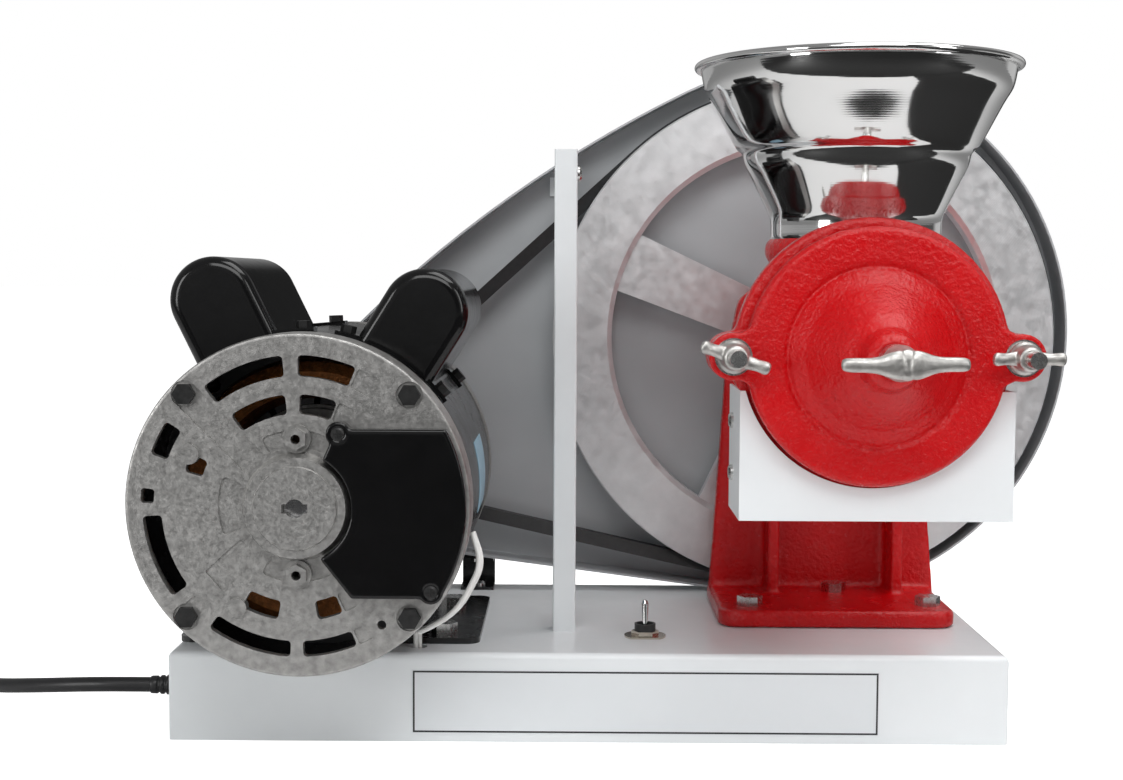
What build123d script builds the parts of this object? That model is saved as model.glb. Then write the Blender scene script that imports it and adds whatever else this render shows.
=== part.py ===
from build123d import *
import os
from math import sin, cos, tan, asin, atan2, sqrt, pi, radians, degrees

# Electric grain mill: a motor and a cast plate mill on one sheet-metal base, joined by a V-belt.
# Millimetres. Origin: centre of the base's footprint on the floor. +X right, +Y back, +Z up.

# Clearances
running_fit = 0.05        # radial, shaft or screw turning in its bore
fixed_fit = 0.03          # radial, pieces assembled for good
part_gap = 0.3            # between curved faces of different pieces
sheet_seat = 0.05         # sheet parts laid on a curved shell

# Base box, folded sheet
base_width = 450.0
base_depth = 206.0
base_height = 48.0
base_sheet = 1.5
base_bend_radius = 3.5
base_corner_radius = 1.6
base_lip = 13.0
bottom_sheet = 1.5
label_width = 250.0
label_height = 34.5
label_left = -94.3
label_bottom = 4.6
label_thickness = 0.3

# Toggle switch
switch_x = 32.3
switch_y = -57.0
switch_bushing_radius = 5.9
switch_bushing_bore = 3.6
switch_bushing_height = 7.5
switch_nut_flats = 13.2
switch_nut_height = 2.6
switch_plate_radius = 11.6
switch_plate_thickness = 0.9
switch_body_size = (29.0, 18.0, 20.0)
lever_length = 16.5
lever_tip_radius = 2.5
lever_root_radius = 1.5
lever_rest_tilt = 11.0
lever_ball_radius = 3.1

# Motor
motor_side_inset = 83.0   # motor's axis in from the base's left side
motor_lift = 6.3          # shell's underside above the base
motor_front_y = -183.3
bell_overhang = 0.5       # bells stand this far out from the shell
bell_length = 21.0
bell_wall = 5.0
shell_radius = 83.5
shell_sheet = 2.0
shell_rear_y = 6.0
rear_bell_length = 19.0
hub_radius = 24.3
hub_disc_radius = 19.9
hub_height = 9.0
motor_shaft_radius = 7.94
bearing_radius = 20.0
bearing_width = 12.0
through_bolt_radius = 3.0
through_bolt_inset = 1.7  # between the bolts and the inside of the shell
through_bolt_flats = 9.5
stator_depth = 36.5      # from the bore out to the inside of the shell
air_gap = 0.4
stator_length = 88.0
stator_front_y = -118.0
winding_height = 22.0
foot_inset = 1.0          # foot's edge in from the shell's side
foot_sheet = 3.2
foot_front_y = -80.0
foot_rear_y = 44.0
foot_web_inset = 30.5     # both in from the foot's edge
foot_bolt_inset = 20.6
foot_bolt_front_y = -62.0
foot_bolt_pitch = 76.2
foot_bolt_radius = 4.0
foot_bolt_flats = 13.0
terminal_cover_height = 9.5
cover_half_width = 22.0
cover_reach = 26.5        # from the shell to the centre of the round top
cover_sheet = 1.2
cover_front_y = -148.0
cover_rear_y = -18.0
cover_edge_radius = 6.0
cover_lean_left = 26.0
cover_lean_right = 32.0
capacitor_radius = 17.5
small_pulley_radius = 25.4
lead_radius = 1.4

# Drive
large_pulley_radius = 158.5
large_pulley_rim = 34.3
large_pulley_lift = 5.0   # rim above the base
pulley_width = 22.0
pulley_back_gap = 4.8     # rim to the back of the pan
pulley_hub_radius = 32.0
pulley_hub_front_proud = 4.5
pulley_hub_rear_proud = 2.0
spoke_count = 4
spoke_angle = 67.0
spoke_width_rim = 39.0
spoke_width_hub = 30.0
spoke_recess = 4.0
spoke_thickness = 11.0
belt_top_width = 12.7
belt_height = 8.0
belt_proud = 1.4
belt_angle = 34.0

# Belt pan and its post
pan_depth = 25.0
pan_sheet = 1.2
pan_small_radius = 58.0
pan_pulley_gap = 10.5     # large pulley's rim to the pan's round end
pan_arch_radius = 780.0
pan_centre_shift_x = -1.3
pan_centre_shift_z = 2.5
post_width = 12.9
post_sheet = 1.5
post_front_y = -45.8
post_rise = 108.8         # post's top above the mill's axis
stay_thickness = 2.0
stay_height = 12.0
stay_drop = 19.3          # post's top to the stay's underside
stay_belt_gap = 3.98       # square to the belt's upper run
bracket_offset = 61.8     # from the motor's axis
bracket_width = 21.0
bracket_sheet = 2.0

# Mill head and stand, one casting
mill_side_inset = 88.2    # mill's axis in from the base's right side
lid_front_y = -186.8
lid_radius = 62.7
lid_thickness = 14.5
lid_groove_radius = 43.3
lid_boss_radius = 20.0
lid_boss_front_y = -228.0
flange_radius = 67.5
flange_thickness = 14.0
chamber_radius = 56.0
chamber_bore = 49.5
chamber_rear_y = -140.0
barrel_radius = 38.0
barrel_bore = 30.0
ear_spacing = 138.4
ear_radius = 11.5
stud_radius = 4.0
stud_front_y = -214.0
throat_y = -113.7
throat_radius = 42.4
throat_bore = 36.0
collar_radius = 46.4
collar_rise = 46.5        # collar's underside above the mill's axis
collar_height = 10.5
spigot_height = 8.0
stand_wall_thickness = 12.0
stand_boss = 8.0          # rear boss behind the wall
stand_pulley_gap = 5.5    # rear boss to the pulley's hub
stand_left = 60.8         # these four reach out from the mill's axis
stand_right = 79.2
stand_top_left = 50.8
stand_top_right = 66.2
stand_plate_right = 76.2
stand_plate_front_y = -34.0
stand_plate_thickness = 10.0
rib_left = 23.3
rib_right = 51.2
rib_thickness = 7.0
rib_depth = 25.0
mill_bolt_radius = 4.0
mill_bolt_flats = 13.0

# Feed shaft and grinding plates
main_shaft_radius = 9.5
feed_core_radius = 13.0
feed_flight_radius = 28.5
feed_pitch = 27.0
feed_flight_thickness = 5.0
feed_front_y = -150.0
feed_rear_y = -66.0
burr_radius = 46.0
burr_thickness = 9.0
burr_gap = 0.6
rotating_burr_rear_y = -165.0
ball_radius = 5.0
screw_radius = 5.95
wing_hub_radius = 7.2

# Chute shield
shield_half_width = 66.8
shield_shift = 2.2        # to the right of the mill's axis
shield_front_y = -176.0
shield_sheet = 1.2
shield_bottom_drop = 80.5 # both below the mill's axis
shield_top_drop = 17.0
shield_rear_y = -122.0
shield_cutout_gap = 1.6
shield_lug_front_y = -147.0
shield_lug_rear_y = -133.0

# Hopper, spun stainless
hopper_wall = 1.0
hopper_neck_radius = 43.9
hopper_bead_radius = 2.2

# Mains cord, put away in a coil to the left
cord_diameter = 8.5
cord_exit_y = -45.0
cord_exit_z = 15.8
relief_length = 24.0
coil_pitch = 10.6
coil_layer_height = 11.6
coil_outer_radius = 58.0
coil_centre = (-468.0, 112.0)
coil_inward_turns = 3
plug_length = 40.0
plug_run = 52.0

# Values worked out from the sizes above
motor_x = motor_side_inset - base_width / 2
motor_z = base_height + motor_lift + shell_radius
mill_x = base_width / 2 - mill_side_inset
mill_z = base_height + large_pulley_lift + large_pulley_radius
bell_radius = shell_radius + bell_overhang
through_bolt_circle = shell_radius - shell_sheet - through_bolt_inset - through_bolt_radius
stator_bore = shell_radius - shell_sheet - stator_depth
foot_half_width = shell_radius - foot_inset
foot_web_x = foot_half_width - foot_web_inset
foot_bolt_x = foot_half_width - foot_bolt_inset
bell_rear_y = motor_front_y + bell_length
motor_rear_y = shell_rear_y + rear_bell_length
pan_rear_y = base_depth / 2
pan_back_y = pan_rear_y - pan_sheet
pan_front_y = pan_rear_y - pan_depth
pan_large_radius = large_pulley_radius + pan_pulley_gap
pulley_rear_y = pan_back_y - pulley_back_gap
pulley_front_y = pulley_rear_y - pulley_width
pulley_hub_front_y = pulley_front_y - pulley_hub_front_proud
pulley_hub_rear_y = pulley_rear_y + pulley_hub_rear_proud
large_pulley_inner_radius = large_pulley_radius - large_pulley_rim
belt_y = pulley_front_y + pulley_width / 2
burr_front_y = rotating_burr_rear_y - burr_thickness
fixed_burr_rear_y = burr_front_y - burr_gap
lid_rear_y = lid_front_y + lid_thickness
flange_front_y = lid_rear_y
flange_rear_y = flange_front_y + flange_thickness
stand_boss_rear_y = pulley_hub_front_y - stand_pulley_gap
stand_wall_rear_y = stand_boss_rear_y - stand_boss
stand_wall_front_y = stand_wall_rear_y - stand_wall_thickness
stand_left_x = mill_x - stand_left
stand_plate_right_x = mill_x + stand_plate_right
rib_front_y = stand_wall_front_y - rib_depth
mill_bolt_places = [(stand_left_x + 19.5, stand_plate_front_y + 20.0),
                    (stand_plate_right_x - 13.0, stand_plate_front_y + 22.0),
                    (mill_x + 14.7, stand_wall_front_y - 14.0)]
collar_bottom = mill_z + collar_rise
collar_top = collar_bottom + collar_height
shield_centre_x = mill_x + shield_shift
shield_bottom = mill_z - shield_bottom_drop
shield_top = mill_z - shield_top_drop
bracket_left = motor_x + bracket_offset
stand_plate_top = base_height + stand_plate_thickness
foot_top = base_height + foot_sheet
belt_outer_small = small_pulley_radius + belt_proud
belt_outer_large = large_pulley_radius + belt_proud
centre_distance = sqrt((mill_x - motor_x) ** 2 + (mill_z - motor_z) ** 2)
shaft_angle = atan2(mill_z - motor_z, mill_x - motor_x)
belt_lean = asin((large_pulley_radius - small_pulley_radius) / centre_distance)
run_angle = shaft_angle + belt_lean
post_top = mill_z + post_rise
stay_bottom = post_top - stay_drop
stay_reach = belt_outer_large + stay_belt_gap - (stay_bottom - mill_z) * cos(run_angle)
stay_right = mill_x - stay_reach / sin(run_angle)
post_x = stay_right + post_sheet - post_width / 2
hopper_bottom = collar_top


# Shape helpers

def facing_front(y):
    """Plane at depth y whose sketch axes are X and Z."""
    return Plane(origin=(0, y, 0), x_dir=(1, 0, 0), z_dir=(0, -1, 0))


def slab_y(sketch, y0, y1):
    """Sketch drawn in X and Z, made solid from depth y0 back to y1."""
    return extrude(facing_front(y0) * sketch, -(y1 - y0))


def rod_x(y, z, radius, x0, x1):
    return Pos((x0 + x1) / 2, y, z) * Rot(0, 90, 0) * Cylinder(radius, x1 - x0)


def rod_y(x, z, radius, y0, y1):
    return Pos(x, (y0 + y1) / 2, z) * Rot(90, 0, 0) * Cylinder(radius, y1 - y0)


def rod_z(x, y, radius, z0, z1):
    return Pos(x, y, (z0 + z1) / 2) * Cylinder(radius, z1 - z0)


def ring_y(x, z, outer, inner, y0, y1):
    return rod_y(x, z, outer, y0, y1) - rod_y(x, z, inner, y0 - 1, y1 + 1)


def block(x0, x1, y0, y1, z0, z1):
    return Pos((x0 + x1) / 2, (y0 + y1) / 2, (z0 + z1) / 2) * Box(x1 - x0, y1 - y0, z1 - z0)


def turned_y(x, z, profile):
    """Solid of revolution about a line along Y; the profile lists (radius, y)."""
    face = make_face(Polyline(*profile, close=True))
    return Pos(x, 0, z) * revolve(face, Axis.Y)


def turned_z(x, y, profile):
    """Solid of revolution about a vertical line; the profile lists (radius, z)."""
    face = Plane.XZ * make_face(Polyline(*profile, close=True))
    return Pos(x, y, 0) * revolve(face, Axis.Z)


def polar(radius, angle):
    return (radius * cos(radians(angle)), radius * sin(radians(angle)))


def sector(r0, r1, a0, a1, corner=0.0):
    """Ring sector between two radii and two angles, round the sketch's origin."""
    mid = (a0 + a1) / 2
    face = make_face([
        ThreePointArc(polar(r0, a0), polar(r0, mid), polar(r0, a1)),
        Line(polar(r0, a1), polar(r1, a1)),
        ThreePointArc(polar(r1, a1), polar(r1, mid), polar(r1, a0)),
        Line(polar(r1, a0), polar(r0, a0)),
    ])
    return fillet(face.vertices(), corner) if corner else face


def arc_between(centre, radius, a0, a1):
    """Arc about a centre from angle a0 to a1, in degrees."""
    points = [(centre[0] + polar(radius, a)[0], centre[1] + polar(radius, a)[1])
              for a in (a0, (a0 + a1) / 2, a1)]
    return ThreePointArc(*points)


def hexagon(flats):
    return RegularPolygon(flats / 2, 6, major_radius=False)


def hex_bolt(radius, length, flats, head):
    """Hex-head bolt along -Z with its head's seat at the origin."""
    return extrude(hexagon(flats), head) + Pos(0, 0, -length / 2) * Cylinder(radius, length)


def pan_screw(radius, length, head_radius, head):
    """Pan-head screw along -Z with its head's seat at the origin."""
    profile = [(0, -length), (radius, -length), (radius, 0), (head_radius, 0),
               (head_radius, head * 0.45), (head_radius * 0.72, head * 0.9), (0, head)]
    body = turned_z(0, 0, profile)
    slot = Box(head_radius * 1.2, head_radius * 0.25, head * 0.5)
    cross = slot + Rot(0, 0, 90) * slot
    return body - Pos(0, 0, head) * cross


head_to_front = Rot(90, 0, 0)
head_to_back = Rot(-90, 0, 0)
head_to_left = Rot(0, -90, 0)
head_to_right = Rot(0, 90, 0)


def on_shell(angle, y, radius):
    """Place on the motor at an angle from +X, with +Z pointing outwards."""
    return Pos(motor_x, y, motor_z) * Rot(0, 90 - angle, 0) * Pos(0, 0, radius)


def group(solids):
    return Compound(children=list(solids))


nodes = {}

# Base box with its lips, holes and bottom plate

outer = Pos(0, 0, base_height / 2) * Box(base_width, base_depth, base_height)
outer = fillet(outer.faces().sort_by(Axis.Z)[-1].edges(), base_bend_radius)
outer = fillet(outer.edges().filter_by(Axis.Z), base_corner_radius)
hollow = Pos(0, 0, (base_height - base_sheet) / 2) * Box(
    base_width - 2 * base_sheet, base_depth - 2 * base_sheet, base_height - base_sheet)
hollow = fillet(hollow.faces().sort_by(Axis.Z)[-1].edges(), base_bend_radius - base_sheet)
base = outer - hollow
lip_z = bottom_sheet
for side in (-1, 1):
    edge = side * (base_depth / 2 - base_sheet / 2)
    inner_edge = side * (base_depth / 2 - base_sheet - base_lip)
    base += block(-base_width / 2 + base_sheet / 2, base_width / 2 - base_sheet / 2,
                  min(edge, inner_edge), max(edge, inner_edge), lip_z, lip_z + base_sheet)

foot_bolt_places = [(motor_x + side * foot_bolt_x, foot_bolt_front_y + step * foot_bolt_pitch)
                    for side in (-1, 1) for step in (0, 1)]
lead_hole = (motor_x + 49.5, foot_front_y - 6.5)
lead_hole_radius = 5.0
for x, y in foot_bolt_places:
    base -= rod_z(x, y, foot_bolt_radius + fixed_fit, base_height - 5, base_height + 5)
for x, y in mill_bolt_places:
    base -= rod_z(x, y, mill_bolt_radius + fixed_fit, base_height - 5, base_height + 5)
base -= rod_z(switch_x, switch_y, switch_bushing_radius + fixed_fit, base_height - 5, base_height + 5)
base -= rod_z(*lead_hole, lead_hole_radius, base_height - 5, base_height + 5)
post_mid_y = post_front_y + post_width / 2
base_screw_radius = 2.5
base -= rod_z(post_x, post_mid_y, base_screw_radius + fixed_fit, base_height - 5, base_height + 5)
pan_screw_y = (pan_front_y + pan_rear_y) / 2
pan_screw_places = [(mill_x - 14, pan_screw_y), (mill_x + 14, pan_screw_y)]
bracket_screw_place = (bracket_left + bracket_width / 2, pan_rear_y - 14)
for x, y in pan_screw_places + [bracket_screw_place]:
    base -= rod_z(x, y, base_screw_radius + fixed_fit, base_height - 5, base_height + 5)
relief_shank_radius = 6.0
base -= rod_x(cord_exit_y, cord_exit_z, relief_shank_radius + fixed_fit,
              -base_width / 2 - 5, -base_width / 2 + 5)
bottom_screw_places = [(sx * (base_width / 2 - 25), sy * (base_depth / 2 - base_sheet - base_lip / 2))
                       for sx in (-1, 0, 1) for sy in (-1, 1)]
bottom_screw_radius = 2.0
bottom_head_radius = 3.8
sink_depth = bottom_head_radius - bottom_screw_radius
for x, y in bottom_screw_places:
    base -= rod_z(x, y, bottom_screw_radius + fixed_fit, 0, 5)
    base -= Pos(x, y, 0) * turned_z(0, 0, [(0, 0), (bottom_head_radius + fixed_fit, 0),
                                           (bottom_screw_radius + fixed_fit, sink_depth), (0, sink_depth)])
nodes["base_box"] = base

plate_margin = base_sheet + part_gap
plate = block(-base_width / 2 + plate_margin, base_width / 2 - plate_margin,
              -base_depth / 2 + plate_margin, base_depth / 2 - plate_margin, 0, bottom_sheet)
screws = []
for x, y in bottom_screw_places:
    sink = turned_z(x, y, [(0, -1), (bottom_head_radius + fixed_fit + 1, -1),
                           (bottom_screw_radius + fixed_fit, sink_depth), (0, sink_depth)])
    plate -= sink + rod_z(x, y, bottom_screw_radius + fixed_fit, -1, 5)
    screws.append(turned_z(x, y, [(0, 0.05), (bottom_head_radius - 0.05, 0.05),
                                  (bottom_screw_radius, sink_depth), (bottom_screw_radius, 9), (0, 9)]))
nodes["base_bottom_plate"] = plate
nodes["bottom_plate_screws"] = group(screws)

nodes["front_label"] = block(label_left, label_left + label_width, -base_depth / 2 - label_thickness,
                             -base_depth / 2, label_bottom, label_bottom + label_height)

# Toggle switch

switch_nut_seat = base_height + switch_plate_thickness
switch_plate = rod_z(switch_x, switch_y, switch_plate_radius, base_height, switch_nut_seat)
switch_plate -= block(switch_x - 20, switch_x + 20, switch_y - 20, switch_y - switch_plate_radius * 0.72,
                      base_height - 1, base_height + 5)
switch_plate -= block(switch_x - 20, switch_x + 20, switch_y + switch_plate_radius * 0.72, switch_y + 20,
                      base_height - 1, base_height + 5)
switch_plate -= rod_z(switch_x, switch_y, switch_bushing_radius + fixed_fit, base_height - 1, base_height + 5)
nodes["switch_plate"] = switch_plate
nut = Pos(switch_x, switch_y, switch_nut_seat) * extrude(hexagon(switch_nut_flats), switch_nut_height)
nodes["switch_nut"] = nut - rod_z(switch_x, switch_y, switch_bushing_radius + fixed_fit,
                                  base_height, base_height + 10)
body_x, body_y, body_z = switch_body_size
switch_body_top = base_height - base_sheet
pivot_z = base_height + 1.5
lever_slot_radius = switch_bushing_bore
bushing_top = base_height + switch_bushing_height
bushing = rod_z(switch_x, switch_y, switch_bushing_radius, switch_body_top, bushing_top)
bushing -= rod_z(switch_x, switch_y, lever_slot_radius, switch_body_top - 1, bushing_top + 1)
bushing -= turned_z(switch_x, switch_y, [
    (0, pivot_z + 2), (lever_slot_radius, pivot_z + 2), (switch_bushing_radius - 0.8, bushing_top + 0.1),
    (0, bushing_top + 0.1)])
housing = block(switch_x - body_x / 2, switch_x + body_x / 2, switch_y - body_y / 2, switch_y + body_y / 2,
                switch_body_top - body_z, switch_body_top)
housing = fillet(housing.edges().filter_by(Axis.Z), 1.5)
housing -= rod_z(switch_x, switch_y, lever_slot_radius, switch_body_top - 6, switch_body_top + 1)
blade_x = [switch_x - body_x * 0.3, switch_x, switch_x + body_x * 0.3]
for x in blade_x:
    housing += block(x - 0.5, x + 0.5, switch_y - 3, switch_y + 3, switch_body_top - body_z - 7,
                     switch_body_top - body_z)
nodes["switch_body"] = housing + bushing

bat = turned_z(0, 0, [(0, -3.0), (lever_root_radius, -2.6), (lever_root_radius + 0.3, 3),
                      (lever_root_radius, 4), (lever_tip_radius * 0.8, lever_length),
                      (lever_tip_radius * 0.55, lever_length + lever_tip_radius * 0.8),
                      (0, lever_length + lever_tip_radius * 1.1)])
bat += Sphere(lever_ball_radius)
nodes["toggle_lever"] = Pos(switch_x, switch_y, pivot_z) * Rot(-lever_rest_tilt, 0, 0) * bat

# Motor castings and shell

bell_inner = bell_radius - 4.5
front_wall_rear_y = motor_front_y + bell_wall
bearing_front_y = motor_front_y - hub_height + 6
bearing_rear_y = bearing_front_y + bearing_width
front_bell = turned_y(motor_x, motor_z, [
    (0, motor_front_y - hub_height), (hub_disc_radius, motor_front_y - hub_height),
    (hub_disc_radius + 0.5, motor_front_y - hub_height + 0.9),
    (hub_radius, motor_front_y - hub_height + 0.9),
    (hub_radius + 2.2, motor_front_y), (bell_radius - 2.0, motor_front_y),
    (bell_radius - 0.6, motor_front_y + 0.6), (bell_radius, motor_front_y + 2.0),
    (bell_radius, bell_rear_y), (bell_inner, bell_rear_y), (bell_inner, front_wall_rear_y),
    (bearing_radius + 5, front_wall_rear_y), (bearing_radius + 5, bearing_rear_y),
    (bearing_radius + fixed_fit, bearing_rear_y), (bearing_radius + fixed_fit, bearing_front_y),
    (0, bearing_front_y)])
bolt_reach = through_bolt_circle / sqrt(2)
through_bolt_places = [(motor_x + sx * bolt_reach, motor_z + sz * bolt_reach)
                       for sx in (-1, 1) for sz in (-1, 1)]
motor_centre = Pos(motor_x, motor_z)


def bell_window(inner_share, outer_share, a0, a1, corner=2):
    """Sector of the bell's face, with its radii as shares of the way from hub to rim."""
    inner = hub_radius + inner_share * (bell_radius - hub_radius)
    outer = hub_radius + outer_share * (bell_radius - hub_radius)
    return sector(inner, outer, a0, a1, corner)


bell_slots = [
    bell_window(0.648, 0.821, 95.5, 128), bell_window(0.648, 0.821, 67, 89.6),
    bell_window(0.342, 0.504, 96, 126), bell_window(0.342, 0.504, 69, 88.5),
    bell_window(0.707, 0.854, 147, 160.5), bell_window(0.397, 0.548, 153.5, 163),
    bell_window(0.757, 0.866, 173.5, 179.0, 1.5), bell_window(0.698, 0.854, 184, 216),
    bell_window(0.698, 0.829, 234, 267), bell_window(0.698, 0.829, 272, 293),
    bell_window(0.380, 0.536, 241, 260), bell_window(0.380, 0.536, 280, 293),
]
for slot in bell_slots:
    front_bell -= slab_y(motor_centre * slot, motor_front_y - 5, front_wall_rear_y + 5)
recess_depth = 0.9
pocket_width = 13.0
band = Rot(0, 0, 135) * Pos(hub_radius + 26.7, 0) * RectangleRounded(47, pocket_width, 1.5)
low_pocket = Rot(0, 0, 222) * Pos(hub_radius + 18.7, 0) * RectangleRounded(24, pocket_width, 1.5)
recesses = [
    bell_window(0.648, 0.821, 56, 66, 1.5), bell_window(0.342, 0.504, 59, 68, 1.5),
    bell_window(0.698, 0.829, 294, 300, 1.2), bell_window(0.380, 0.536, 294, 301, 1.2),
    bell_window(0.698, 0.816, 221, 228, 1.5), bell_window(0.070, 0.238, 158, 202),
    bell_window(0.070, 0.213, 62, 118), bell_window(0.070, 0.213, 242, 298), band, low_pocket,
]
for recess in recesses:
    front_bell -= slab_y(motor_centre * recess, motor_front_y - 5, motor_front_y + recess_depth)
nut_boss_offset = hub_radius + 8.7
nut_boss_radius = 7.0
for side in (-1, 1):
    z = motor_z + side * nut_boss_offset
    boss = rod_y(motor_x, z, nut_boss_radius, motor_front_y - 1.8, front_wall_rear_y)
    boss += slab_y(Pos(motor_x, z) * Rot(0, 0, 30) * hexagon(9.5), motor_front_y - 5.5, front_wall_rear_y)
    front_bell += boss
    front_bell -= rod_y(motor_x, z, 2.3, motor_front_y - 20, front_wall_rear_y + 20)
for angle in (154.3, 239.1):
    dx, dz = polar(hub_radius + 33.6, angle)
    front_bell += rod_y(motor_x + dx, motor_z + dz, 4.9, motor_front_y - 1.6, front_wall_rear_y)
dx, dz = polar(bell_radius - 13.3, -54.8)
front_bell -= rod_y(motor_x + dx, motor_z + dz, 2.2, motor_front_y - 20, front_wall_rear_y + 20)
shaft_window = Circle(4.6) + Rectangle(12.5, 4.4)
front_bell -= slab_y(motor_centre * shaft_window, motor_front_y - 20, bearing_front_y + 1)
bolt_seat_y = motor_front_y + 1.2
bolt_recess_radius = through_bolt_flats / 2 + 1.75
for x, z in through_bolt_places:
    front_bell -= rod_y(x, z, through_bolt_radius + fixed_fit, motor_front_y - 20, bell_rear_y + 20)
    front_bell -= rod_y(x, z, bolt_recess_radius, motor_front_y - 20, bolt_seat_y)
terminal_screw_radius = 1.6
terminal_screw_places = [polar(hub_radius + 17.3, 59.9), polar(bell_radius - 7.4, -31.6)]
for dx, dz in terminal_screw_places:
    front_bell -= rod_y(motor_x + dx, motor_z + dz, terminal_screw_radius, motor_front_y - 20,
                        front_wall_rear_y + 20)
nodes["front_endbell"] = front_bell

shell = ring_y(motor_x, motor_z, shell_radius, shell_radius - shell_sheet, bell_rear_y, shell_rear_y)
cover_angle = {"left": 90 + cover_lean_left, "right": 90 - cover_lean_right}
tab_screw_radius = 2.0
tab_width = 12.0
tab_reach = {"left": 12.7, "right": 5.4}
tab_front_y = cover_front_y + 7
tab_rear_y = cover_rear_y - 7
cover_tabs = {"left": [(-1, tab_front_y), (-1, tab_rear_y)],
              "right": [(1, tab_front_y), (-1, tab_front_y), (-1, tab_rear_y)]}


def tab_angle(side, way):
    """Angle on the shell of a tab's screw, beside the cover's wall."""
    wall_angle = asin(cover_half_width / shell_radius)
    return cover_angle[side] + way * degrees(wall_angle + tab_reach[side] / shell_radius)


for side, tabs in cover_tabs.items():
    for way, y in tabs:
        shell -= on_shell(tab_angle(side, way), y, shell_radius) * Cylinder(tab_screw_radius + fixed_fit, 12)
lead_exit_angle = -12.0
lead_exit_y = bell_rear_y + 14
shell -= on_shell(lead_exit_angle, lead_exit_y, shell_radius) * Cylinder(4.5, 12)
nodes["motor_shell"] = shell

rear_wall_y = motor_rear_y - bell_wall
rear_bearing_front_y = rear_wall_y - 6
rear_bearing_rear_y = rear_bearing_front_y + bearing_width
shaft_hole_radius = motor_shaft_radius + 0.6
rear_bell = turned_y(motor_x, motor_z, [
    (shaft_hole_radius, motor_rear_y + 4), (bearing_radius + 4, motor_rear_y + 4),
    (bearing_radius + 7, motor_rear_y), (bell_radius - 3, motor_rear_y), (bell_radius, motor_rear_y - 3),
    (bell_radius, shell_rear_y), (bell_inner, shell_rear_y), (bell_inner, rear_wall_y),
    (bearing_radius + 5, rear_wall_y), (bearing_radius + 5, rear_bearing_front_y),
    (bearing_radius + fixed_fit, rear_bearing_front_y), (bearing_radius + fixed_fit, rear_bearing_rear_y),
    (shaft_hole_radius, rear_bearing_rear_y)])
for k in range(8):
    slot = sector(40.0, 64.0, k * 45 + 8, k * 45 + 37, 3)
    rear_bell -= slab_y(motor_centre * slot, rear_wall_y - 5, motor_rear_y + 9)
for x, z in through_bolt_places:
    rear_bell -= rod_y(x, z, through_bolt_radius + fixed_fit, shell_rear_y - 20, motor_rear_y + 20)
nodes["rear_endbell"] = rear_bell

bolt_length = motor_rear_y + 6 - bolt_seat_y
bolts = []
for x, z in through_bolt_places:
    bolt = Pos(x, bolt_seat_y, z) * head_to_front * hex_bolt(through_bolt_radius, bolt_length,
                                                             through_bolt_flats, 4.2)
    nut = Pos(x, motor_rear_y, z) * head_to_back * extrude(hexagon(through_bolt_flats), 5)
    bolts.append(bolt + nut)
nodes["through_bolts"] = group(bolts)

# Inside of the motor

nodes["motor_bearings"] = group(
    ring_y(motor_x, motor_z, bearing_radius, motor_shaft_radius + running_fit, y, y + bearing_width)
    for y in (bearing_front_y, rear_bearing_front_y))
stator_rear_y = stator_front_y + stator_length
stator_outer = shell_radius - shell_sheet - fixed_fit
stator = ring_y(motor_x, motor_z, stator_outer, stator_bore, stator_front_y, stator_rear_y)
slot_count = 24
slot_depth = 17.0
for k in range(slot_count):
    a = k * 360 / slot_count
    slot = sector(stator_bore - 1, stator_bore + slot_depth, a - 2, a + 2)
    stator -= slab_y(motor_centre * slot, stator_front_y - 1, stator_rear_y + 1)
for x, z in through_bolt_places:
    stator -= rod_y(x, z, through_bolt_radius + 1, stator_front_y - 1, stator_rear_y + 1)
nodes["stator_core"] = stator
winding_inner = stator_bore + 3
winding_outer = through_bolt_circle - through_bolt_radius - 3.8
winding_profile = [(winding_inner, 0), (winding_outer - 2, 0), (winding_outer, 4),
                   (winding_outer - 2, winding_height - 3), (winding_outer - 7, winding_height),
                   (winding_inner + 4, winding_height - 2), (winding_inner + 1, 6)]
coils = [
    turned_y(motor_x, motor_z, [(r, stator_front_y - y) for r, y in winding_profile]),
    turned_y(motor_x, motor_z, [(r, stator_rear_y + y) for r, y in winding_profile]),
]
nodes["stator_windings"] = group(coils)

rotor_radius = stator_bore - air_gap
rotor = ring_y(motor_x, motor_z, rotor_radius, motor_shaft_radius + fixed_fit, stator_front_y, stator_rear_y)
for k in range(36):
    a = k * 10
    notch = Pos(*polar(rotor_radius - 4, a)) * Circle(1.6)
    rotor -= slab_y(motor_centre * notch, stator_front_y - 1, stator_rear_y + 1)
end_ring = [(rotor_radius - 18.6, 0), (rotor_radius - 1.6, 0), (rotor_radius - 1.6, 9),
            (rotor_radius - 16.6, 9)]
rotor += turned_y(motor_x, motor_z, [(r, stator_front_y - y) for r, y in end_ring])
rotor += turned_y(motor_x, motor_z, [(r, stator_rear_y + y) for r, y in end_ring])
nodes["rotor_core"] = rotor
motor_shaft_end_y = pulley_rear_y
motor_key_width = 4.8
motor_shaft = rod_y(motor_x, motor_z, motor_shaft_radius, bearing_front_y + 0.5, motor_shaft_end_y)
motor_shaft -= block(motor_x - motor_key_width / 2, motor_x + motor_key_width / 2, motor_rear_y + 12,
                     motor_shaft_end_y + 1, motor_z + motor_shaft_radius - 2.5, motor_z + 20)
nodes["motor_shaft"] = motor_shaft
fan_front_y = stator_rear_y + 11
fan_rear_y = rear_bearing_front_y - 1.5
fan = ring_y(motor_x, motor_z, 16, motor_shaft_radius + fixed_fit, fan_front_y, fan_rear_y)
fan_hub_radius = 14.0
fan_radius = winding_inner - 2
fan += ring_y(motor_x, motor_z, fan_radius, fan_hub_radius, fan_front_y, fan_front_y + 2)
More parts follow.
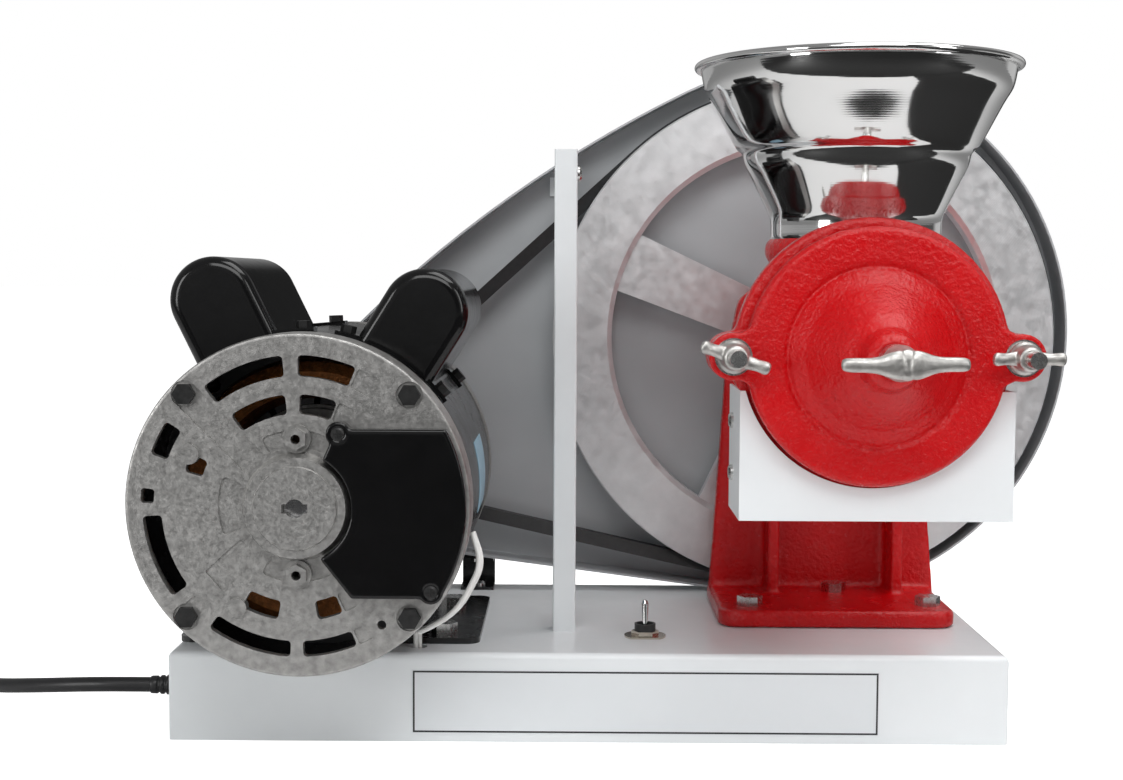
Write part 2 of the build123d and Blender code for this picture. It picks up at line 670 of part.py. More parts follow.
for k in range(9):
    blade_face = Pos((fan_radius + fan_hub_radius) / 2, 0) * Rectangle(fan_radius - fan_hub_radius, 2.2)
    blade = slab_y(blade_face, fan_front_y + 1, fan_rear_y - 1)
    fan += Pos(motor_x, 0, motor_z) * Rot(0, k * 40, 0) * blade
nodes["cooling_fan"] = fan
governor_rear_y = stator_front_y - 12
governor = ring_y(motor_x, motor_z, 15, motor_shaft_radius + fixed_fit, governor_rear_y - 20, governor_rear_y)
governor += ring_y(motor_x, motor_z, 24, 14, governor_rear_y - 4, governor_rear_y)
governor += ring_y(motor_x, motor_z, 21, 14, governor_rear_y - 20, governor_rear_y - 17)
for side in (-1, 1):
    governor += Pos(motor_x + side * 22, governor_rear_y - 8, motor_z) * Box(10, 10, 16)
nodes["centrifugal_governor"] = governor
start_plate_front_y = bearing_rear_y
start_plate_face = (Circle(40) - Circle(17.5)) & Pos(0, 12) * Rectangle(90, 44)
start_plate = slab_y(motor_centre * start_plate_face, start_plate_front_y, start_plate_front_y + 2.5)
for dx in (-30, 30):
    start_plate += block(motor_x + dx - 5, motor_x + dx + 5, front_wall_rear_y, start_plate_front_y + 1,
                         motor_z - 4, motor_z + 6)
nodes["start_switch"] = start_plate

# Terminal cover on the front bell

past_rim = bell_radius + 6
terminal_outline = Polyline((20, 38.5), (past_rim, 38.5), (past_rim, -43.5), (27, -43.5), (12.5, -25),
                            (12.5, 21.5), close=True)
cover_face = make_face(terminal_outline) & Circle(bell_radius - 1.8)
for dx, dz in terminal_screw_places:
    cover_face += Pos(dx, dz) * Circle(6)
cover_face -= Circle(hub_radius + 2.6)
cover_front = motor_front_y - terminal_cover_height
terminal_cover = slab_y(motor_centre * cover_face, cover_front, motor_front_y)
terminal_cover = fillet(terminal_cover.faces().sort_by(Axis.Y)[0].edges(), 1.0)
terminal_screws = []
for x, z in through_bolt_places:
    terminal_cover -= rod_y(x, z, 7.5, cover_front - 1, motor_front_y + 1)
screw_sink = 1.0
for dx, dz in terminal_screw_places:
    x, z = motor_x + dx, motor_z + dz
    terminal_cover -= rod_y(x, z, terminal_screw_radius, cover_front - 1, motor_front_y + 1)
    terminal_cover -= rod_y(x, z, 3.6, cover_front - 1, cover_front + screw_sink)
    terminal_screws.append(Pos(x, cover_front + screw_sink, z) * head_to_front * pan_screw(
        terminal_screw_radius - running_fit, terminal_cover_height + 3, 3.3, 1.8))
nodes["terminal_cover"] = terminal_cover

# Capacitor covers, capacitors and their screws


def cover_shape(angle, half_width, y0, y1, edge_radius):
    """Tall cover with a round top that leans out from the shell."""
    sunk = 12.0
    stem = Pos(0, shell_radius + (cover_reach - sunk) / 2) * Rectangle(2 * half_width, cover_reach + sunk)
    face = stem + Pos(0, shell_radius + cover_reach) * Circle(half_width)
    solid = slab_y(motor_centre * Rot(0, 0, angle - 90) * face, y0, y1)
    ends = ShapeList(solid.faces().sort_by(Axis.Y)[0].edges() + solid.faces().sort_by(Axis.Y)[-1].edges())
    return fillet(ends, edge_radius)


cover_screws = []
shell_rod = rod_y(motor_x, motor_z, shell_radius + sheet_seat, motor_front_y, motor_rear_y + foot_rear_y)
tab_thickness = 1.6
tab_end = 5.8
tab_root = 2.5
for side, angle in cover_angle.items():
    cover = cover_shape(angle, cover_half_width, cover_front_y, cover_rear_y, cover_edge_radius)
    inner = cover_shape(angle, cover_half_width - cover_sheet, cover_front_y + cover_sheet,
                        cover_rear_y - cover_sheet, cover_edge_radius - cover_sheet)
    tab_length = tab_reach[side] + tab_end + tab_root
    tab_shift = degrees((tab_length / 2 - tab_end) / shell_radius)
    for way, y in cover_tabs[side]:
        tab_middle = tab_angle(side, way) - way * tab_shift
        tab_place = on_shell(tab_middle, y, shell_radius + tab_thickness / 2 - 0.4)
        cover += tab_place * Box(tab_length, tab_width, tab_thickness + 0.8)
        cover_screws.append(on_shell(tab_angle(side, way), y, shell_radius + tab_thickness + sheet_seat)
                            * hex_bolt(tab_screw_radius, 6, 7.0, 3.6))
    cover = cover - inner - shell_rod
    for way, y in cover_tabs[side]:
        seat = on_shell(tab_angle(side, way), y, shell_radius + tab_thickness + sheet_seat / 2)
        cover -= seat * Cylinder(tab_screw_radius + fixed_fit, 12)
        cover -= seat * Pos(0, 0, 5) * Box(tab_width - 1, tab_width - 1, 10)
    nodes["capacitor_cover_" + side] = cover.solids().sort_by(SortBy.VOLUME)[-1]
nodes["cover_screws"] = group(terminal_screws + cover_screws)
capacitor_reach = shell_radius + capacitor_radius + part_gap
capacitors = []
for side, y1 in (("left", -48.0), ("right", -40.0)):
    dx, dz = polar(capacitor_reach, cover_angle[side])
    can = rod_y(motor_x + dx, motor_z + dz, capacitor_radius, cover_front_y + 8, y1)
    can += rod_y(motor_x + dx - 5, motor_z + dz, 2, y1, y1 + 9)
    can += rod_y(motor_x + dx + 5, motor_z + dz, 2, y1, y1 + 9)
    capacitors.append(can)
nodes["capacitors"] = group(capacitors)

# Motor foot and its bolts

foot = block(motor_x - foot_half_width, motor_x + foot_half_width, foot_front_y, foot_rear_y,
             base_height, foot_top)
foot = fillet(foot.edges().filter_by(Axis.Z), 7)
web_top = motor_z - sqrt(shell_radius ** 2 - foot_web_x ** 2) + 4
for side in (-1, 1):
    x = motor_x + side * foot_web_x
    foot += block(x - foot_sheet / 2, x + foot_sheet / 2, foot_front_y + 14, foot_rear_y - 40,
                  foot_top - 1, web_top)
foot -= shell_rod
foot -= block(motor_x - 30, motor_x + 30, foot_front_y - 1, foot_front_y + 16, base_height - 1, foot_top + 1)
foot_bolts = []
for x, y in foot_bolt_places:
    foot -= rod_z(x, y, foot_bolt_radius + fixed_fit, base_height - 5, base_height + 10)
    foot_bolts.append(Pos(x, y, foot_top) * hex_bolt(foot_bolt_radius, foot_sheet + base_sheet + 12,
                                                     foot_bolt_flats, 5.3)
                      + Pos(x, y, base_height - base_sheet - 6.5) * extrude(hexagon(foot_bolt_flats), 6.5))
nodes["motor_foot"] = foot

# Motor leads from the shell down into the base

lead_start_radius = shell_radius + 1.2


def lead_points(shift):
    """Route of one lead: out of the shell, round its side and down through the base top."""
    start_x, start_z = polar(lead_start_radius, lead_exit_angle)
    side_x, side_z = polar(shell_radius + 10.5, -20.6)
    low_x, low_z = polar(shell_radius + 11.5, -36.9)
    under_x, under_z = polar(shell_radius + 6.1, -51.3)
    hx, hy = lead_hole
    return [
        (motor_x + start_x, lead_exit_y + shift, motor_z + start_z),
        (motor_x + side_x + shift * 0.3, lead_exit_y - 3 + shift, motor_z + side_z),
        (motor_x + low_x + shift * 0.3, lead_exit_y - 4 + shift, motor_z + low_z),
        (motor_x + under_x, lead_exit_y + 6 + shift, motor_z + under_z),
        (hx + shift * 0.55, hy - 3, base_height + 13),
        (hx + shift * 0.55, hy, base_height - 12),
    ]


def swept_tube(points, radius, name):
    """Tube along straight runs joined by the largest arcs that the runs allow."""
    radii = []
    for before, here, after in zip(points, points[1:], points[2:]):
        run_in = Vector(*here) - Vector(*before)
        run_out = Vector(*after) - Vector(*here)
        turn = radians(run_in.get_angle(run_out))
        radii.append(0.45 * min(run_in.length, run_out.length) / tan(turn / 2))
    path = FilletPolyline(*points, radius=radii)
    section = Plane(origin=path @ 0, z_dir=path % 0) * Circle(radius)
    tube = sweep(section, path=path)
    ideal = pi * radius ** 2 * path.length
    print(f"{name}: length {path.length:.1f}, radii {[round(r, 1) for r in radii]}, "
          f"volume {tube.volume:.0f} of {ideal:.0f}")
    return tube


motor_leads = [swept_tube(lead_points(s), lead_radius, "motor lead") for s in (-1.7, 1.7)]

# Belt and pulleys


def pulley_groove(radius):
    """V groove cut into a rim, wider than the belt by its side clearance."""
    half = belt_top_width / 2 + part_gap
    depth = belt_height + 3
    side = tan(radians(belt_angle / 2))
    drop = belt_proud
    return [(radius + 2, belt_y - half - side * (2 - drop)), (radius + 2, belt_y + half + side * (2 - drop)),
            (radius - depth, belt_y + half - side * (depth + drop)),
            (radius - depth, belt_y - half + side * (depth + drop))]


def belt_outline(small, large):
    """Outline of a band round both pulleys, in X and Z."""
    top, bottom = degrees(shaft_angle + belt_lean) + 90, degrees(shaft_angle - belt_lean) - 90
    motor_point, mill_point = (motor_x, motor_z), (mill_x, mill_z)
    small_arc = arc_between(motor_point, small, top, bottom + 360)
    large_arc = arc_between(mill_point, large, bottom, top)
    runs = [Line(small_arc @ 1, large_arc @ 0), Line(large_arc @ 1, small_arc @ 0)]
    return make_face([small_arc, large_arc, *runs])


belt_bottom_width = belt_top_width - 2 * belt_height * tan(radians(belt_angle / 2))
belt_path = (facing_front(belt_y) * belt_outline(belt_outer_small, belt_outer_large)).wire()
heading = belt_path % 0
belt_profile = make_face(Polyline((0, -belt_top_width / 2), (0, belt_top_width / 2),
                                  (belt_height, belt_bottom_width / 2), (belt_height, -belt_bottom_width / 2),
                                  close=True))
belt_plane = Plane(origin=belt_path @ 0, x_dir=(-heading.Z, 0, heading.X), z_dir=heading)
nodes["v_belt"] = sweep(belt_plane * belt_profile, path=belt_path)

small_hub_front_y = motor_rear_y + 14
small_pulley = turned_y(motor_x, motor_z, [
    (motor_shaft_radius + fixed_fit, small_hub_front_y), (16, small_hub_front_y), (16, pulley_front_y + 1),
    (small_pulley_radius, pulley_front_y + 1), (small_pulley_radius, pulley_rear_y - 1),
    (motor_shaft_radius + fixed_fit, pulley_rear_y - 1)])
small_pulley -= turned_y(motor_x, motor_z, pulley_groove(small_pulley_radius))
set_screw_radius = 2.3
small_screw_y = (small_hub_front_y + pulley_front_y) / 2
small_pulley -= rod_z(motor_x, small_screw_y, set_screw_radius + fixed_fit, motor_z + 5, motor_z + 20)
nodes["motor_pulley"] = small_pulley
nodes["motor_pulley_screw"] = rod_z(motor_x, small_screw_y, set_screw_radius,
                                    motor_z + motor_shaft_radius - 2.5 + fixed_fit, motor_z + 15.5)

large_pulley = turned_y(mill_x, mill_z, [
    (large_pulley_inner_radius, pulley_front_y), (large_pulley_radius - 0.8, pulley_front_y),
    (large_pulley_radius, pulley_front_y + 0.8), (large_pulley_radius, pulley_rear_y - 0.8),
    (large_pulley_radius - 0.8, pulley_rear_y), (large_pulley_inner_radius + 14, pulley_rear_y),
    (large_pulley_inner_radius + 9, pulley_rear_y - 6), (large_pulley_inner_radius - 3, pulley_rear_y - 7),
    (large_pulley_inner_radius - 3, pulley_front_y + 2.5)])
large_pulley += turned_y(mill_x, mill_z, [
    (main_shaft_radius + fixed_fit, pulley_hub_front_y), (pulley_hub_radius, pulley_hub_front_y),
    (pulley_hub_radius + 2, pulley_hub_rear_y), (main_shaft_radius + fixed_fit, pulley_hub_rear_y)])
spoke_outline = make_face(Polyline(
    (pulley_hub_radius - 6, -spoke_width_hub / 2), (large_pulley_inner_radius + 4, -spoke_width_rim / 2),
    (large_pulley_inner_radius + 4, spoke_width_rim / 2), (pulley_hub_radius - 6, spoke_width_hub / 2),
    close=True))
spoke_front_y = pulley_front_y + spoke_recess
for k in range(spoke_count):
    angle = spoke_angle + k * 360 / spoke_count
    spoke = slab_y(Pos(mill_x, mill_z) * Rot(0, 0, angle) * spoke_outline, spoke_front_y,
                   spoke_front_y + spoke_thickness)
    large_pulley += spoke
large_pulley -= turned_y(mill_x, mill_z, pulley_groove(large_pulley_radius))
large_pulley -= rod_y(mill_x, mill_z, main_shaft_radius + fixed_fit, pulley_hub_front_y - 1,
                      pulley_hub_rear_y + 1)
key_width = 5.0
key_height = 5.0
key_seat = mill_z + main_shaft_radius - key_height / 2
key_top = key_seat + key_height
large_pulley -= block(mill_x - key_width / 2 - fixed_fit, mill_x + key_width / 2 + fixed_fit,
                      pulley_hub_front_y - 1, pulley_hub_rear_y + 1, mill_z, key_top + fixed_fit)
large_screw_y = (pulley_front_y + pulley_hub_rear_y) / 2 + 4
large_pulley -= Pos(mill_x, 0, mill_z) * rod_x(large_screw_y, 0, set_screw_radius + fixed_fit, 5, 60)
nodes["driven_pulley"] = large_pulley
pulley_screw = Pos(mill_x, 0, mill_z) * rod_x(large_screw_y, 0, set_screw_radius,
                                              main_shaft_radius + fixed_fit, pulley_hub_radius)
pulley_key = block(mill_x - key_width / 2, mill_x + key_width / 2, pulley_hub_front_y,
                   pulley_hub_rear_y, key_seat, key_top)
nodes["driven_pulley_fixings"] = group([pulley_screw, pulley_key])

# Main shaft with feed screw

shaft_front_y = rotating_burr_rear_y - burr_thickness - 1.0
shaft_rear_y = pulley_hub_rear_y
main_shaft = rod_y(mill_x, mill_z, main_shaft_radius, shaft_front_y + 3, shaft_rear_y)
main_shaft += rod_y(mill_x, mill_z, 6.5, shaft_front_y, shaft_front_y + 4)
main_shaft += rod_y(mill_x, mill_z, feed_core_radius, feed_front_y - 14, feed_rear_y)
flight_mid = (feed_core_radius + feed_flight_radius) / 2
flight_path = Helix(feed_pitch, feed_rear_y - feed_front_y - feed_flight_thickness, flight_mid)
flight_plane = Plane(origin=flight_path @ 0, x_dir=(1, 0, 0), z_dir=flight_path % 0)
flight_section = flight_plane * Rectangle(feed_flight_radius - feed_core_radius + 2, feed_flight_thickness)
flight = sweep(flight_section, path=flight_path, is_frenet=True)
flight = Pos(mill_x, feed_front_y + feed_flight_thickness / 2, mill_z) * Rot(-90, 0, 0) * flight
main_shaft += flight
main_shaft -= block(mill_x - key_width / 2 - fixed_fit, mill_x + key_width / 2 + fixed_fit,
                    pulley_hub_front_y, shaft_rear_y + 1, key_seat - fixed_fit, mill_z + 20)


def burr(y0, y1, teeth_y, bore):
    """Grinding plate with radial furrows in the face at teeth_y."""
    plate = ring_y(mill_x, mill_z, burr_radius, bore, y0, y1)
    for k in range(16):
        furrow = Pos(mill_x, 0, mill_z) * Rot(0, k * 22.5, 0) * Pos(36, teeth_y, 0) * Rot(0, 18, 0)
        plate -= furrow * Box(26, 3.0, 2.4)
    return plate


rotating_burr = burr(burr_front_y, rotating_burr_rear_y, burr_front_y, main_shaft_radius + fixed_fit)
nodes["rotating_burr"] = rotating_burr
fixed_burr_front_y = fixed_burr_rear_y - burr_thickness + 2
nodes["fixed_burr"] = burr(fixed_burr_front_y, fixed_burr_rear_y, fixed_burr_rear_y, 12.0)
pin_radius = 2.5
drive_pin = rod_x(rotating_burr_rear_y + 4, 0, pin_radius, -24, 24)
pin_cut = Pos(mill_x, 0, mill_z) * rod_x(rotating_burr_rear_y + 4, 0, pin_radius + fixed_fit, -30, 30)
nodes["main_shaft"] = group([main_shaft - pin_cut, Pos(mill_x, 0, mill_z) * drive_pin])
hub_back = ring_y(mill_x, mill_z, 24, feed_core_radius + fixed_fit, rotating_burr_rear_y - 0.5,
                  rotating_burr_rear_y + 8)
nodes["rotating_burr"] = nodes["rotating_burr"] + hub_back - pin_cut - rod_y(
    mill_x, mill_z, feed_core_radius + fixed_fit, rotating_burr_rear_y - 0.2, rotating_burr_rear_y + 20)

# Mill body: flange, chamber, barrel, throat, stand wall, ribs and foot plate in one casting

casting = turned_y(mill_x, mill_z, [
    (0, flange_front_y), (flange_radius - 1.5, flange_front_y), (flange_radius, flange_front_y + 1.5),
    (flange_radius, flange_rear_y - 2), (flange_radius - 2, flange_rear_y),
    (chamber_radius + 0.8, flange_rear_y), (chamber_radius, flange_rear_y + 3),
    (chamber_radius, chamber_rear_y), (barrel_radius + 4, chamber_rear_y + 16),
    (barrel_radius, chamber_rear_y + 24), (barrel_radius, stand_wall_front_y - 6),
    (barrel_radius + 6, stand_wall_front_y), (barrel_radius + 6, stand_wall_rear_y),
    (main_shaft_radius + 10, stand_boss_rear_y), (0, stand_boss_rear_y)])
for side in (-1, 1):
    ear_x = mill_x + side * ear_spacing / 2
    ear = rod_y(ear_x, mill_z, ear_radius, flange_front_y, flange_rear_y)
    ear += block(min(mill_x, ear_x), max(mill_x, ear_x), flange_front_y, flange_rear_y,
                 mill_z - ear_radius, mill_z + ear_radius)
    casting += ear
casting += rod_z(mill_x, throat_y, throat_radius, mill_z, collar_top + spigot_height)
collar_mid = (collar_bottom + collar_top) / 2
casting += turned_z(mill_x, throat_y, [
    (0, collar_bottom - 3), (throat_radius, collar_bottom - 3), (collar_radius - 1.5, collar_bottom + 0.5),
    (collar_radius, collar_mid - 2), (collar_radius, collar_mid + 2), (collar_radius - 1.5, collar_top),
    (0, collar_top)])
shoulder = barrel_radius + 6
wall_top = barrel_radius + 8
wall_outline = make_face(Pos(mill_x, mill_z) * Polyline(
    (-stand_left, base_height - mill_z), (-stand_top_left, -10), (-shoulder, 24), (-18, wall_top),
    (18, wall_top), (shoulder, 24), (stand_top_right, -10), (stand_right, base_height - mill_z), close=True))
wall_outline = fillet(wall_outline.vertices().sort_by(Axis.Y)[2:], 10)
casting += slab_y(wall_outline, stand_wall_front_y, stand_wall_rear_y)
foot_plate = block(stand_left_x, stand_plate_right_x, stand_plate_front_y, stand_wall_rear_y,
                   base_height, stand_plate_top)
front_corners = foot_plate.edges().filter_by(Axis.Z).sort_by(Axis.Y)[:2]
foot_plate = fillet(front_corners, 12)
foot_plate = fillet(foot_plate.faces().sort_by(Axis.Z)[-1].edges().sort_by(Axis.Y)[:-1], 2.2)
casting += foot_plate
rib_top = mill_z - barrel_radius * 0.35
for x in (mill_x - rib_left, mill_x + rib_right):
    casting += block(x - rib_thickness / 2, x + rib_thickness / 2, rib_front_y, stand_wall_front_y + 1,
                     stand_plate_top - 1, rib_top)
lug_half = shield_half_width - shield_sheet
lug_left = shield_centre_x - lug_half
lug_right = shield_centre_x + lug_half
lug_top = mill_z - 24
lug_bottom = mill_z - 68
casting += block(lug_left, lug_right, shield_lug_front_y, shield_lug_rear_y, lug_bottom, lug_top)
casting -= rod_y(mill_x, mill_z, chamber_bore, flange_front_y - 1, shield_lug_front_y - 3)
casting -= rod_y(mill_x, mill_z, barrel_bore, flange_front_y - 1, feed_rear_y + 3)
casting -= rod_z(mill_x, throat_y, throat_bore, mill_z + 1, collar_top + spigot_height + 1)
casting -= rod_z(mill_x, throat_y, barrel_bore - 2, mill_z - 4, mill_z + 30)
bush_outer = main_shaft_radius + 4
casting -= rod_y(mill_x, mill_z, bush_outer + fixed_fit, feed_rear_y - 1, stand_wall_rear_y + 20)
outlet_half = 34.0
casting -= block(mill_x - outlet_half, mill_x + outlet_half, flange_front_y + 3, shield_lug_front_y - 4,
                 mill_z - flange_radius - 5, mill_z - 30)
for side in (-1, 1):
    casting -= rod_y(mill_x + side * ear_spacing / 2, mill_z, stud_radius + fixed_fit,
                     flange_front_y - 1, flange_rear_y + 1)
for x, y in mill_bolt_places:
    casting -= rod_z(x, y, mill_bolt_radius + fixed_fit, base_height - 1, stand_plate_top + 1)
shield_screw_z = [mill_z - 34.3, mill_z - 60.8]
shield_screw_y = (shield_lug_front_y + shield_lug_rear_y) / 2
shield_screw_radius = 2.0
for z in shield_screw_z:
    for x0, x1 in ((lug_left - 1, lug_left + 12), (lug_right - 12, lug_right + 1)):
        casting -= rod_x(shield_screw_y, z, shield_screw_radius + fixed_fit, x0, x1)
for x0, x1 in ((lug_left - 20, lug_left), (lug_right, lug_right + 20)):
    casting -= block(x0, x1, flange_front_y - 1, flange_rear_y + 5, lug_bottom, shield_top + 1)
nodes["mill_body"] = casting

bush_length = 34.0
nodes["shaft_bushes"] = group(
    ring_y(mill_x, mill_z, bush_outer, main_shaft_radius + running_fit, y, y + bush_length)
    for y in (feed_rear_y + 3, stand_boss_rear_y - bush_length))
mill_bolts = []
for x, y in mill_bolt_places:
    bolt = Pos(x, y, stand_plate_top) * hex_bolt(
        mill_bolt_radius, stand_plate_thickness + base_sheet + 12, mill_bolt_flats, 5.3)
    nut = Pos(x, y, base_height - base_sheet - 6.5) * extrude(hexagon(mill_bolt_flats), 6.5)
    mill_bolts.append(bolt + nut)
nodes["mounting_bolts"] = group(foot_bolts + mill_bolts)

# Lid, studs, washers, wing nuts and adjusting screw

lid = turned_y(mill_x, mill_z, [
    (0, lid_boss_front_y), (9.5, lid_boss_front_y), (12.5, lid_boss_front_y + 2.5),
    (lid_boss_radius - 4.5, lid_boss_front_y + 11), (lid_boss_radius + 1.5, lid_boss_front_y + 17),
    (lid_groove_radius - 8, lid_front_y - 6), (lid_groove_radius - 1.5, lid_front_y - 0.5),
    (lid_groove_radius, lid_front_y + 1.6), (lid_groove_radius + 1.8, lid_front_y + 0.2),
    (lid_groove_radius + 3, lid_front_y), (lid_radius - 2, lid_front_y), (lid_radius, lid_front_y + 2),
    (lid_radius, lid_rear_y), (chamber_bore, lid_rear_y), (chamber_bore, lid_rear_y - 3),
    (burr_radius + part_gap, lid_rear_y - 3), (burr_radius + part_gap, fixed_burr_front_y),
    (lid_groove_radius - 9, fixed_burr_front_y), (14, lid_boss_front_y + 19), (0, lid_boss_front_y + 19)])
for side in (-1, 1):
    ear_x = mill_x + side * ear_spacing / 2
    web_root_x = mill_x + side * 40
    web_tip_x = ear_x - side * 3
    web_tip = ear_radius - 0.6
    ear_web = make_face(Polyline((web_root_x, mill_z - 24), (web_tip_x, mill_z - web_tip),
                                 (web_tip_x, mill_z + web_tip), (web_root_x, mill_z + 24), close=True))
    ear = rod_y(ear_x, mill_z, ear_radius, lid_front_y, lid_rear_y)
    lid_disc = rod_y(mill_x, mill_z, lid_radius - 4, lid_front_y, lid_rear_y)
    ear += slab_y(ear_web, lid_front_y, lid_rear_y) - lid_disc
    lid += ear
    lid -= rod_y(ear_x, mill_z, stud_radius + 0.4, lid_front_y - 10, lid_rear_y + 10)
lid -= rod_y(mill_x, mill_z, screw_radius + running_fit, lid_boss_front_y - 5, lid_rear_y)
nodes["mill_lid"] = lid

studs = [rod_y(mill_x + side * ear_spacing / 2, mill_z, stud_radius, stud_front_y, flange_rear_y + 4)
         for side in (-1, 1)]
nodes["lid_studs"] = group(studs)
washer_thickness = 1.6
washer_radius = 9.0
nut_seat_y = lid_front_y - washer_thickness


def wing_nut(hub_base, hub_tip, hub_length, bore, span, sweep_back, tilt):
    """Wing nut along -Y from its seat at y = 0, with two rounded wings."""
    hub = turned_y(0, 0, [(bore, 0), (hub_base, 0), (hub_base, -2), (hub_tip, -hub_length),
                          (bore, -hub_length)])
    root, waist, lobe, tip = 3.4, 2.2, 2.6, 1.6
    for side in (-1, 1):
        waist_x, lobe_x, tip_x = side * span * 0.55, side * span * 0.8, side * span
        outline = Polyline((0, -root), (waist_x, -waist), (lobe_x, -lobe), (tip_x, -tip), (tip_x, tip),
                           (lobe_x, lobe), (waist_x, waist), (0, root), close=True)
        wing = slab_y(make_face(outline), -hub_length * 0.62, -hub_length * 0.2)
        hub += Rot(0, 0, side * sweep_back) * wing
    hub -= rod_y(0, 0, bore, -hub_length - 5, 5)
    return Rot(0, tilt, 0) * hub


nut_bore = stud_radius + running_fit
wing_span = 18.5
for name, side, tilt in (("left", -1, 22), ("right", 1, 3)):
    ear_x = mill_x + side * ear_spacing / 2
    nodes[name + "_washer"] = ring_y(ear_x, mill_z, washer_radius, stud_radius + 0.3, nut_seat_y, lid_front_y)
    nodes[name + "_wing_nut"] = Pos(ear_x, nut_seat_y, mill_z) * wing_nut(
        8.2, 6.0, 14.0, nut_bore, wing_span, 12, tilt)

ball_y = shaft_front_y - ball_radius - 0.1
nodes["thrust_ball"] = Pos(mill_x, ball_y, mill_z) * Sphere(ball_radius)
screw_tip_y = ball_y - ball_radius - 0.05
wing_seat_y = lid_boss_front_y - 12.0
adjusting = rod_y(mill_x, mill_z, screw_radius, wing_seat_y - 5, screw_tip_y)
wing = Pos(mill_x, wing_seat_y, mill_z) * wing_nut(wing_hub_radius + 1, wing_hub_radius - 0.5, 22.0,
                                                   screw_radius - 0.5, 28.0, -9, 0)
wing += rod_y(mill_x, mill_z, screw_radius + 0.2, wing_seat_y - 22.0, wing_seat_y)
nodes["adjusting_screw"] = adjusting + wing
collar_front_y = lid_boss_front_y - 9.0
nodes["adjusting_collar"] = ring_y(mill_x, mill_z, wing_hub_radius + 1, screw_radius + fixed_fit,
                                   collar_front_y - 2.5, lid_boss_front_y - part_gap)

# Chute shield with its screws

shield_left = shield_centre_x - shield_half_width
shield_right = shield_centre_x + shield_half_width
shield = block(shield_left, shield_right, shield_front_y, shield_rear_y, shield_bottom, shield_top)
shield -= block(shield_left + shield_sheet, shield_right - shield_sheet, shield_front_y + shield_sheet,
                shield_rear_y + 1, shield_bottom - 1, shield_top + 1)
shield -= rod_y(mill_x, mill_z, lid_radius + shield_cutout_gap, shield_front_y - 1, shield_front_y + 6)
shield_screws = []
for z in shield_screw_z:
    shield -= rod_x(shield_screw_y, z, shield_screw_radius + fixed_fit, shield_left - 5, shield_right + 5)
    shield_screws.append(Pos(shield_left, shield_screw_y, z) * head_to_left * pan_screw(2.0, 10, 4.0, 2.4))
    shield_screws.append(Pos(shield_right, shield_screw_y, z) * head_to_right * pan_screw(2.0, 10, 4.0, 2.4))
nodes["chute_shield"] = shield
nodes["shield_screws"] = group(shield_screws)

# Hopper: two spun bowls on a short neck, with a rolled rim

hopper_flare = [(0, 0), (0, 10.1), (0, 13.0), (12.4, 37.0), (13.9, 40.0), (13.9, 44.1), (18.1, 47.1),
                (31.3, 72.7), (34.7, 76.5), (36.5, 88.0)]
hopper_outer = [(hopper_neck_radius + out, hopper_bottom + up) for out, up in hopper_flare]


def inset_profile(points, wall):
    """Profile moved inwards by the wall, along the mean normal at each point."""
    inner = []
    for i, (r, z) in enumerate(points):
        r0, z0 = points[max(i - 1, 0)]
        r1, z1 = points[min(i + 1, len(points) - 1)]
        length = sqrt((r1 - r0) ** 2 + (z1 - z0) ** 2)
        inner.append((r - wall * (z1 - z0) / length, z + wall * (r1 - r0) / length))
    return inner


hopper_inner = inset_profile(hopper_outer, hopper_wall)
hopper = turned_z(mill_x, throat_y, hopper_outer + hopper_inner[::-1])
rim_r, rim_z = hopper_outer[-1]
bead = Plane.XZ * Pos(rim_r + 1.2, rim_z + 1.0) * Circle(hopper_bead_radius)
hopper += Pos(mill_x, throat_y, 0) * revolve(bead, Axis.Z)
nodes["hopper"] = hopper

# Belt pan, its bracket, post, stay and screws

pan_large_centre = (mill_x + pan_centre_shift_x, mill_z + pan_centre_shift_z)
pan_small_centre = (motor_x, motor_z)


def pan_outline(inset):
    """Outline of the pan in X and Z: two round ends, an arched top and a straight, level bottom."""
    small, large, arch = pan_small_radius - inset, pan_large_radius - inset, pan_arch_radius - inset
    (x1, z1), (x2, z2) = pan_small_centre, pan_large_centre
    reach = sqrt((x2 - x1) ** 2 + (z2 - z1) ** 2)
    line_angle = atan2(z2 - z1, x2 - x1)
    # Centre of the arch, which touches both round ends from outside
    side1, side2 = arch - small, arch - large
    along = (side1 ** 2 - side2 ** 2 + reach ** 2) / (2 * reach)
    across = -sqrt(side1 ** 2 - along ** 2)
    xa = x1 + along * cos(line_angle) - across * sin(line_angle)
    za = z1 + along * sin(line_angle) + across * cos(line_angle)
    top1 = degrees(atan2(z1 - za, x1 - xa))
    top2 = degrees(atan2(z2 - za, x2 - xa))
    # Straight run below, touching both ends, down to the level stretch
    fall = line_angle - asin((large - small) / reach)
    level = base_height + inset
    start = (x1 + small * sin(fall), z1 - small * cos(fall))
    run = (level - start[1]) / sin(fall)
    corner = (start[0] + run * cos(fall), level)
    end_angle = degrees(asin((level - z2) / large))
    end = (x2 + large * cos(radians(end_angle)), level)
    return make_face([
        arc_between(pan_small_centre, small, top1, degrees(fall) - 90 + 360),
        Line(start, corner), Line(corner, end),
        arc_between(pan_large_centre, large, end_angle, top2),
        arc_between((xa, za), arch, top2, top1),
    ])


